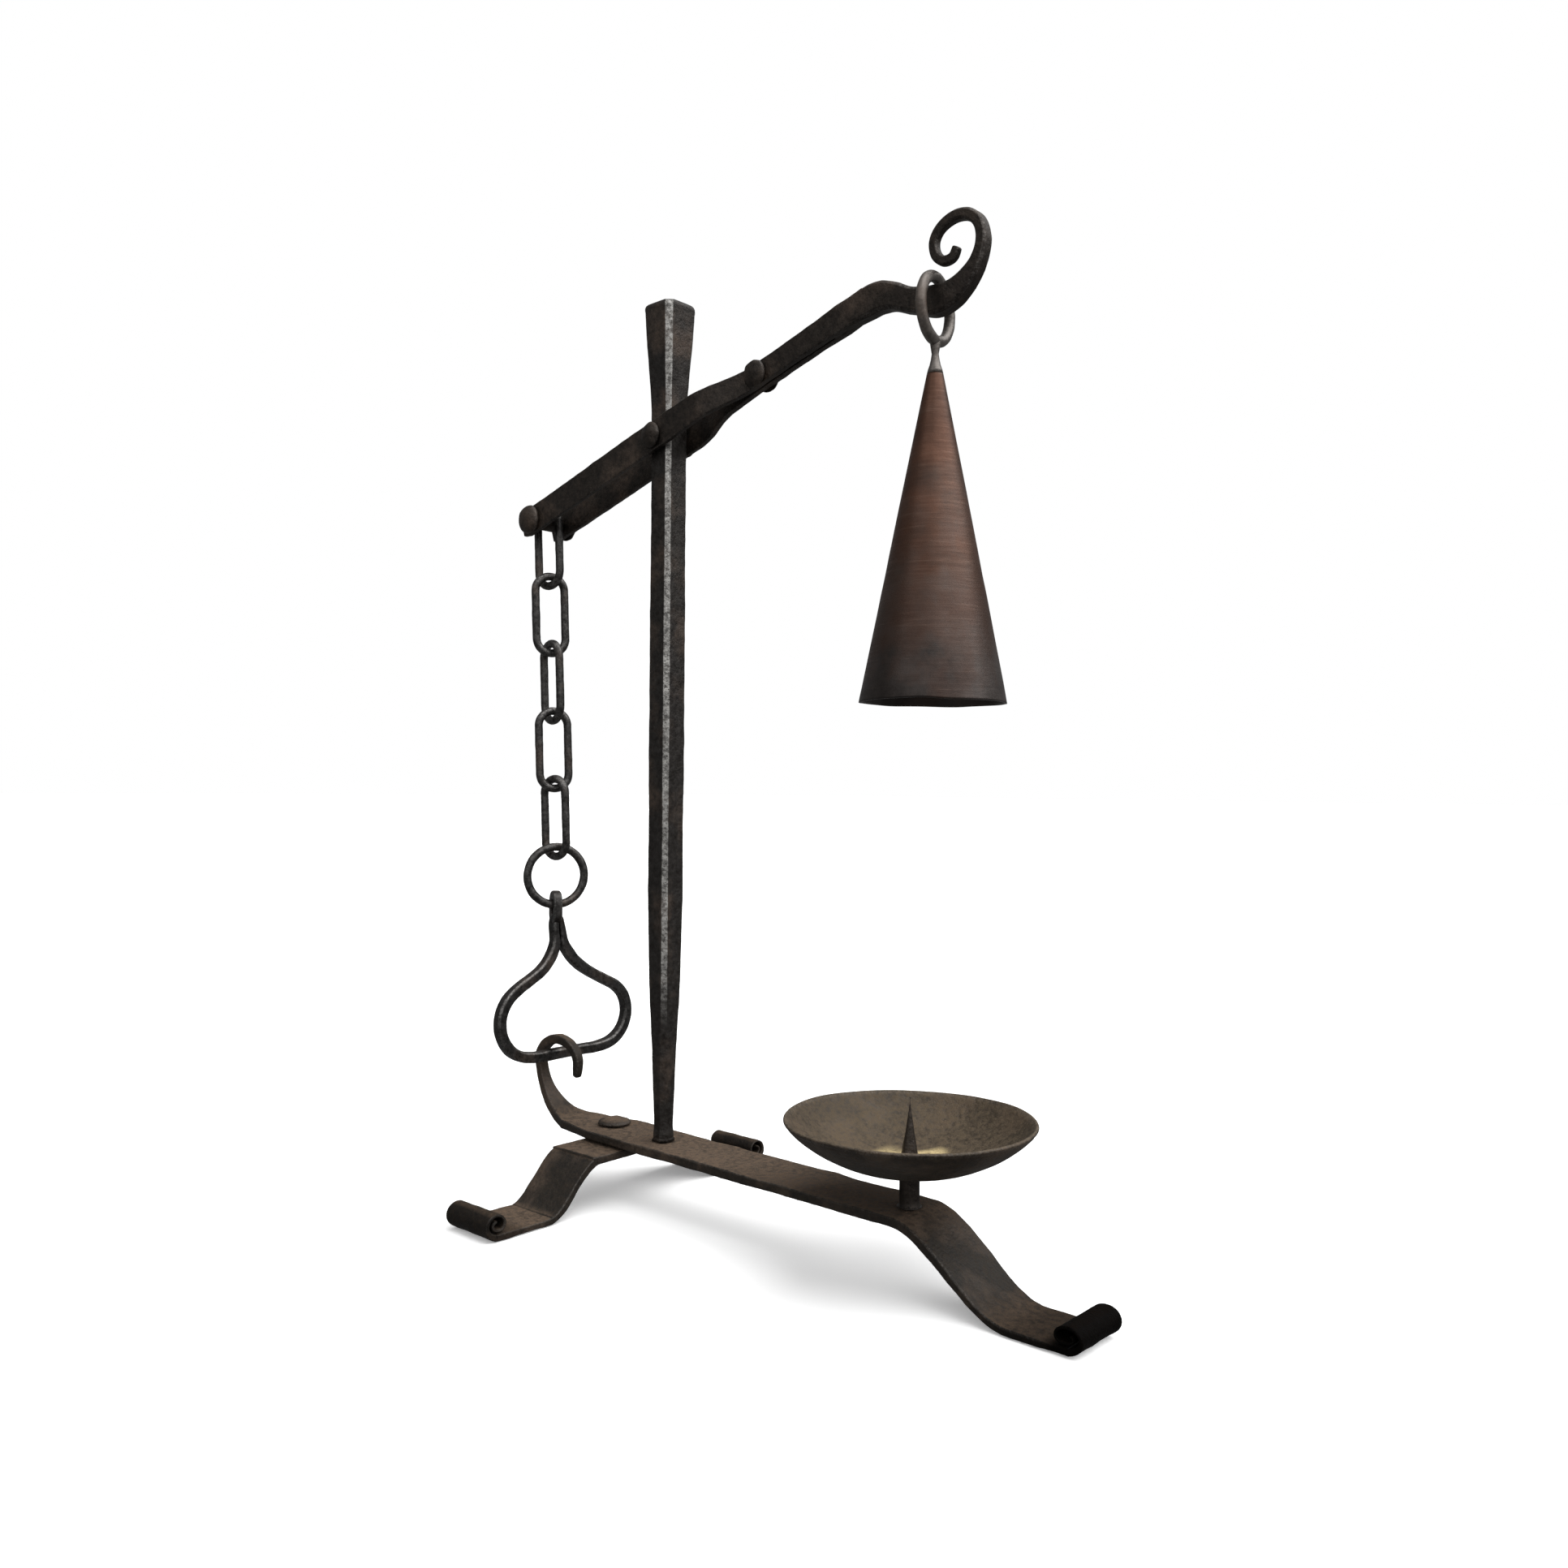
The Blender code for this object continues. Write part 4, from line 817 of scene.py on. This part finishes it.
def buildChain(c):
    contacts = chainTop + (ringTop - chainTop) * np.linspace(0, 1, 6)[:, None]
    lean = math.degrees(math.atan2(contacts[-1, 0] - contacts[0, 0], contacts[0, 2] - contacts[-1, 2]))
    inner = np.linalg.norm(contacts[0] - contacts[1]) + gap
    half = c["width"] / 2 - c["wire"]
    straight = inner / 2 + c["wire"] - half
    for number, yaw in enumerate(c["yaws"]):
        # two half circles joined by straight wires
        turn = np.concatenate([np.linspace(0, np.pi, 40), np.linspace(np.pi, 2 * np.pi, 40)])
        side = np.repeat([straight, -straight], 40)
        u, v = half * np.cos(turn), half * np.sin(turn) + side - inner / 2 + gap / 2
        size = np.full(80, 2 * c["wire"])
        loop = np.stack([u, v, 0 * u, size, size], axis=1)
        rows = evenRows(np.vstack([loop, loop[:1]]), 0.75, closed=True)
        # the scarf weld sits on one wire, on the other side of every second link
        away = rows[:, 1] + inner * (0.42 + 0.06 * (number % 3))
        weld = np.exp(-(away / 1.6) ** 2) * (rows[:, 0] * (-1) ** number > 0)
        rows[:, 3:] -= (0.16 * (1 - weld))[:, None]
        points, outward, _ = sweepBar(rows, roundSection(22), 99, closed=True)
        points = beaten(points, outward, c["marks"], 130 + 7 * number)
        rub = 0.35 + 0.5 * ease((np.abs(rows[:, 1] + inner / 2) - inner / 2 + 3) / 3)
        points = placed(points, turnAxis("Y", -lean) @ turnAxis("Z", yaw), contacts[number])
        makePiece(f"chainLink{number + 1}", f"link_{number + 1}", [f"chain_link_{number + 1}"],
                  chainFinish, [{"points": points, "closed": True, "wear": rub[:, None]}])
    radius = c["ringOuter"] - c["ringWire"]
    turn = np.linspace(0, 2 * np.pi, 120)
    size = np.full(120, 2 * c["ringWire"] - 0.06)
    down = radius * np.sin(turn) - radius + c["ringWire"] + gap / 2
    ring = np.stack([radius * np.cos(turn), down, 0 * turn, size, size], axis=1)
    points, outward, _ = sweepBar(evenRows(ring, 0.75, closed=True), roundSection(24), 99, closed=True)
    points = beaten(points, outward, c["ringMarks"], 170)
    points = placed(points, turnAxis("Z", c["ringYaw"]), ringTop)
    makePiece("chainRing", "ring", ["chain_ring"], chainFinish,
              [{"points": points, "closed": True, "wear": 0.45}])


buildChain(chain)


def buildHandle(h):
    drop = (h["drop"] - h["neck"]) / 64.7
    # u, depth below the neck's top, thickness in the plane and width across it
    left = ((-0.7, 1.2, 3.0, 6.2), (-1.1, -3.3, 3.6, 5.9), (-0.7, -7.8, 4.1, 5.3), (-0.5, -12.0, 5.0, 5.3),
            (-2.6, -17.4, 5.4, 5.5))
    right = ((7.4, -16.2, 5.4, 5.5), (4.7, -12.0, 5.0, 5.3), (3.8, -7.8, 4.1, 5.3), (2.7, -3.3, 3.6, 5.9),
             (1.5, 1.2, 3.0, 6.2))
    # the grip, all one square section
    grip = ((-7.2, -23.0), (-13.4, -27.0), (-21.0, -31.0), (-27.5, -36.0), (-31.2, -42.8), (-31.2, -50.8),
            (-27.6, -58.0), (-21.0, -62.8), (-12.0, -64.7), (0.0, -64.7), (14.0, -64.7), (27.0, -64.7),
            (36.5, -62.4), (42.6, -56.6), (44.8, -49.2), (43.0, -41.8), (37.8, -36.0), (29.6, -31.7),
            (20.0, -26.8), (12.2, -21.4))
    grip = tuple((*point, h["bar"], h["bar"]) for point in grip)
    u, v, thick, width = np.array(left + grip + right).T
    rows = smoothRows(np.stack([u, v * drop - h["neck"], 0 * u, width, thick], axis=1), 0.7)
    rows = roundEnds(rows, 0.8)
    points, outward, rim = sweepBar(rows, barSection(6, 6, 5), 1.45)
    points = beaten(points, outward, h["marks"], 181)
    origin = np.array([h["x"], 0, eyeZ])
    loop = {"points": points[..., [1, 0, 2]] + origin, "wear": 0.25 + 0.6 * rim}
    # oval eye: half a circle over the ring's wire, two strands, half a circle in the neck
    hole, strand, crown = chain["ringWire"] + slide, 2.7, 4.4
    turn = np.linspace(0, 2 * np.pi, 97)[:-1] + 0.01
    up = np.sin(turn)
    deep = strand + (crown - strand) * np.maximum(up, 0) ** 2
    reach = hole + deep / 2
    centre = np.where(up > 0, gap / 2 - hole, -6.4)
    eye = np.stack([reach * np.cos(turn), centre + reach * up, 0 * turn, np.full(96, 4.6), deep], axis=1)
    eye = evenRows(np.vstack([eye, eye[:1]]), 0.6, closed=True)
    points, outward, rim = sweepBar(eye, barSection(6, 5, 5), 1.1, closed=True)
    points = beaten(points, outward, {**h["marks"], "wave": 0.08}, 187)
    points = placed(points, turnAxis("Z", chain["ringYaw"] - 90), origin)
    makePiece("pullHandle", "handle", ["pull_handle"], chainFinish,
              [loop, {"points": points, "closed": True, "wear": 0.2 + 0.6 * rim}])


buildHandle(handle)


# ---- snuffer: ring, neck and copper cone ----

snuffer = {"radius": 27.75, "wall": 0.9, "tip": 3.1, "height": 121.3, "ringOuter": 14.0, "ringWire": 2.4,
           "neck": 12.2, "yaw": 98.5, "lap": 200.0,
           "marks": blows(0.16, 6, 0.16, 4, 0.05, 0.9)}
seatZ = post["pivot"] + lever["crook"] * math.tan(lever["tilt"]) - lever["seatDrop"]
hangZ = seatZ + lever["seatThick"] / 2 + 2 * gap + snuffer["ringWire"]
ringRadius = snuffer["ringOuter"] - snuffer["ringWire"]
coneTop = hangZ - 2 * ringRadius - snuffer["neck"] - gap


def buildHanger(s):
    # a round ring, a little stouter below, where it was drawn out into the neck
    turn = np.linspace(0, 2 * np.pi, 160)
    lower = ease((-np.cos(turn) + 0.15) / 1.15)
    u, v = ringRadius * np.sin(turn), ringRadius * np.cos(turn) - ringRadius
    size = 2 * s["ringWire"] - 0.25 + 0.25 * lower
    rows = evenRows(np.stack([u, v, 0 * u, size - 0.1 * lower, size], axis=1), 0.6, closed=True)
    points, outward, _ = sweepBar(rows, roundSection(26), 99, closed=True)
    points = beaten(points, outward, s["marks"], 201)
    points = placed(points, turnAxis("Z", s["yaw"]), (lever["seat"], 0, hangZ))
    bottom, tip = hangZ - 2 * ringRadius, coneTop + gap
    shank = s["tip"] - s["wall"] - slide
    profile = [(0.3, tip - 8.4), (shank + 0.7, tip - 8.2), (shank + 0.7, tip - 6.9), (shank, tip - 6.4),
               (shank, tip - 0.1), (s["tip"], tip - 0.05), (s["tip"] - 0.3, tip + 1.4),
               (s["tip"] - 0.9, tip + 3.0), (1.75, tip + 5.0), (1.4, tip + 7.2), (1.6, tip + 8.4),
               (2.1, bottom - 0.8), (2.1, bottom), (0.8, bottom + 0.9)]
    neck, outward = revolve(profile, 28)
    neck = beaten(neck, outward, {**s["marks"], "wave": 0.05, "dent": 0.08}, 207)
    neck = shifted(neck, lever["seat"])
    makePiece("snufferHanger", "snuffer", ["snuffer_hanger"], ringFinish,
              [{"points": points, "closed": True, "wear": 0.4}, {"points": neck, "wear": 0.25}])


buildHanger(snuffer)


def buildCone(s):
    # a straight cone, outside then inside, with one lapped seam and a rim that is not quite true
    share = np.linspace(0, 1, 170)
    wide = s["radius"] - 0.35
    outer = np.stack([s["tip"] + (wide - s["tip"]) * share, coneTop - s["height"] * share], axis=1)
    inner = np.stack([outer[:, 0] - s["wall"], outer[:, 1]], axis=1)[::-1]
    fold = np.array([(outer[-1, 0] - 0.18, outer[-1, 1]), (inner[0, 0] + 0.18, inner[0, 1])])
    profile = np.vstack([outer, fold, inner])
    points, outward = revolve(profile, 240)
    turn = np.linspace(0, 2 * np.pi, 240, endpoint=False)
    past = np.mod(turn - math.radians(s["lap"]), 2 * np.pi)
    lap = np.where(past < 0.35, 1 - ease(past / 0.35), 0) * 0.42
    outside = (np.arange(len(profile)) < 171)[:, None]
    down = np.clip((coneTop - profile[:, 1]) / s["height"], 0, 1)[:, None]
    sway = 0.28 * softNoise(points, 26, 301) + 0.10 * softNoise(points, 8, 302)
    swell = (lap * outside - 0.12 + sway) * (0.25 + 0.75 * down)
    points = points + onCircle(turn)[None] * swell[..., None]
    ragged = (0.5 + 0.5 * softNoise(onCircle(turn, 27), 11, 305)) * 0.9
    points[..., 2] += ease((down - 0.93) / 0.07) * ragged
    rim = ease((down - 0.985) / 0.015)
    makePiece("snufferCone", "snuffer", ["snuffer_cone"], copperFinish,
              [{"points": shifted(points, lever["seat"]), "closed": True, "tone": down, "wear": rim}])


buildCone(snuffer)


# ---- floor, light and camera ----

studio = {"floorSize": 40.0, "lens": 29.94, "yaw": 41.970, "pitch": -0.124, "roll": 0.454,
          "eye": (423.16, -392.80, 185.40), "room": 0.18, "paper": 1.0, "glow": 0.24,
          "lamps": (("keySoft", (0.42, 0.28, 0.86), 2.6, 75.0),
                    ("frontSoft", (0.22, -0.68, 0.70), 1.05, 80.0),
                    ("rightSoft", (0.80, -0.05, 0.60), 1.3, 80.0))}


def buildStudio(s):
    half = s["floorSize"] / 2
    mesh = bpy.data.meshes.new("studioFloor")
    corners = [(x * half, y * half, -0.0001) for x, y in ((-1, -1), (1, -1), (1, 1), (-1, 1))]
    mesh.from_pydata(corners, [], [(0, 1, 2, 3)])
    floor = bpy.data.objects.new("studioFloor", mesh)
    bpy.context.scene.collection.objects.link(floor)
    paper = bpy.data.materials.new("palePaper")
    paper.use_nodes = True
    shader = paper.node_tree.nodes["Principled BSDF"]
    shader.inputs["Base Color"].default_value = colour(s["paper"], s["paper"], s["paper"])
    shader.inputs["Roughness"].default_value = 1.0
    shader.inputs["Specular IOR Level"].default_value = 0.0
    shader.inputs["Emission Color"].default_value = colour(1.0, 1.0, 1.0)
    shader.inputs["Emission Strength"].default_value = s["glow"]  # keeps the wide shadows faint
    mesh.materials.append(paper)
    floor.visible_diffuse = False  # the paper throws no light back up, so undersides stay dark
    floor.visible_glossy = False
    world = bpy.data.worlds.new("paleRoom")
    bpy.context.scene.world = world
    world.use_nodes = True
    tree = world.node_tree
    room = tree.nodes["Background"]
    room.inputs["Color"].default_value = colour(1.0, 1.0, 1.0)
    room.inputs["Strength"].default_value = s["room"]
    white = addNode(tree, "Background", {"Color": colour(1.0, 1.0, 1.0), "Strength": 1.0})
    seen = addNode(tree, "LightPath").outputs["Is Camera Ray"]
    both = addNode(tree, "MixShader", {0: seen, 1: room.outputs[0], 2: white.outputs[0]})
    tree.links.new(both.outputs[0], tree.nodes["World Output"].inputs["Surface"])
    # name, where it comes from, strength, how wide it looks
    for name, place, strength, spread in s["lamps"]:
        light = bpy.data.lights.new(name, "SUN")
        light.energy, light.angle = strength, math.radians(spread)
        lamp = bpy.data.objects.new(name, light)
        lamp.location = place
        lamp.rotation_euler = (-Vector(place)).to_track_quat("-Z", "Y").to_euler()
        bpy.context.scene.collection.objects.link(lamp)
    camera = bpy.data.objects.new("camera", bpy.data.cameras.new("camera"))
    camera.data.sensor_width, camera.data.lens = 36.0, s["lens"]
    camera.data.clip_start, camera.data.clip_end = 0.01, 50.0
    bpy.context.scene.collection.objects.link(camera)
    turn = Matrix.Rotation(math.radians(s["yaw"]), 4, "Z")
    for degrees, axis in ((90 - s["pitch"], "X"), (s["roll"], "Z")):
        turn = turn @ Matrix.Rotation(math.radians(degrees), 4, axis)
    x, y, z = (value * mm for value in s["eye"])
    camera.matrix_world = Matrix.Translation((x + postX, y, z)) @ turn
    bpy.context.scene.camera = camera
    bpy.context.scene.view_settings.view_transform = "Standard"


buildStudio(studio)
print("studio ready")
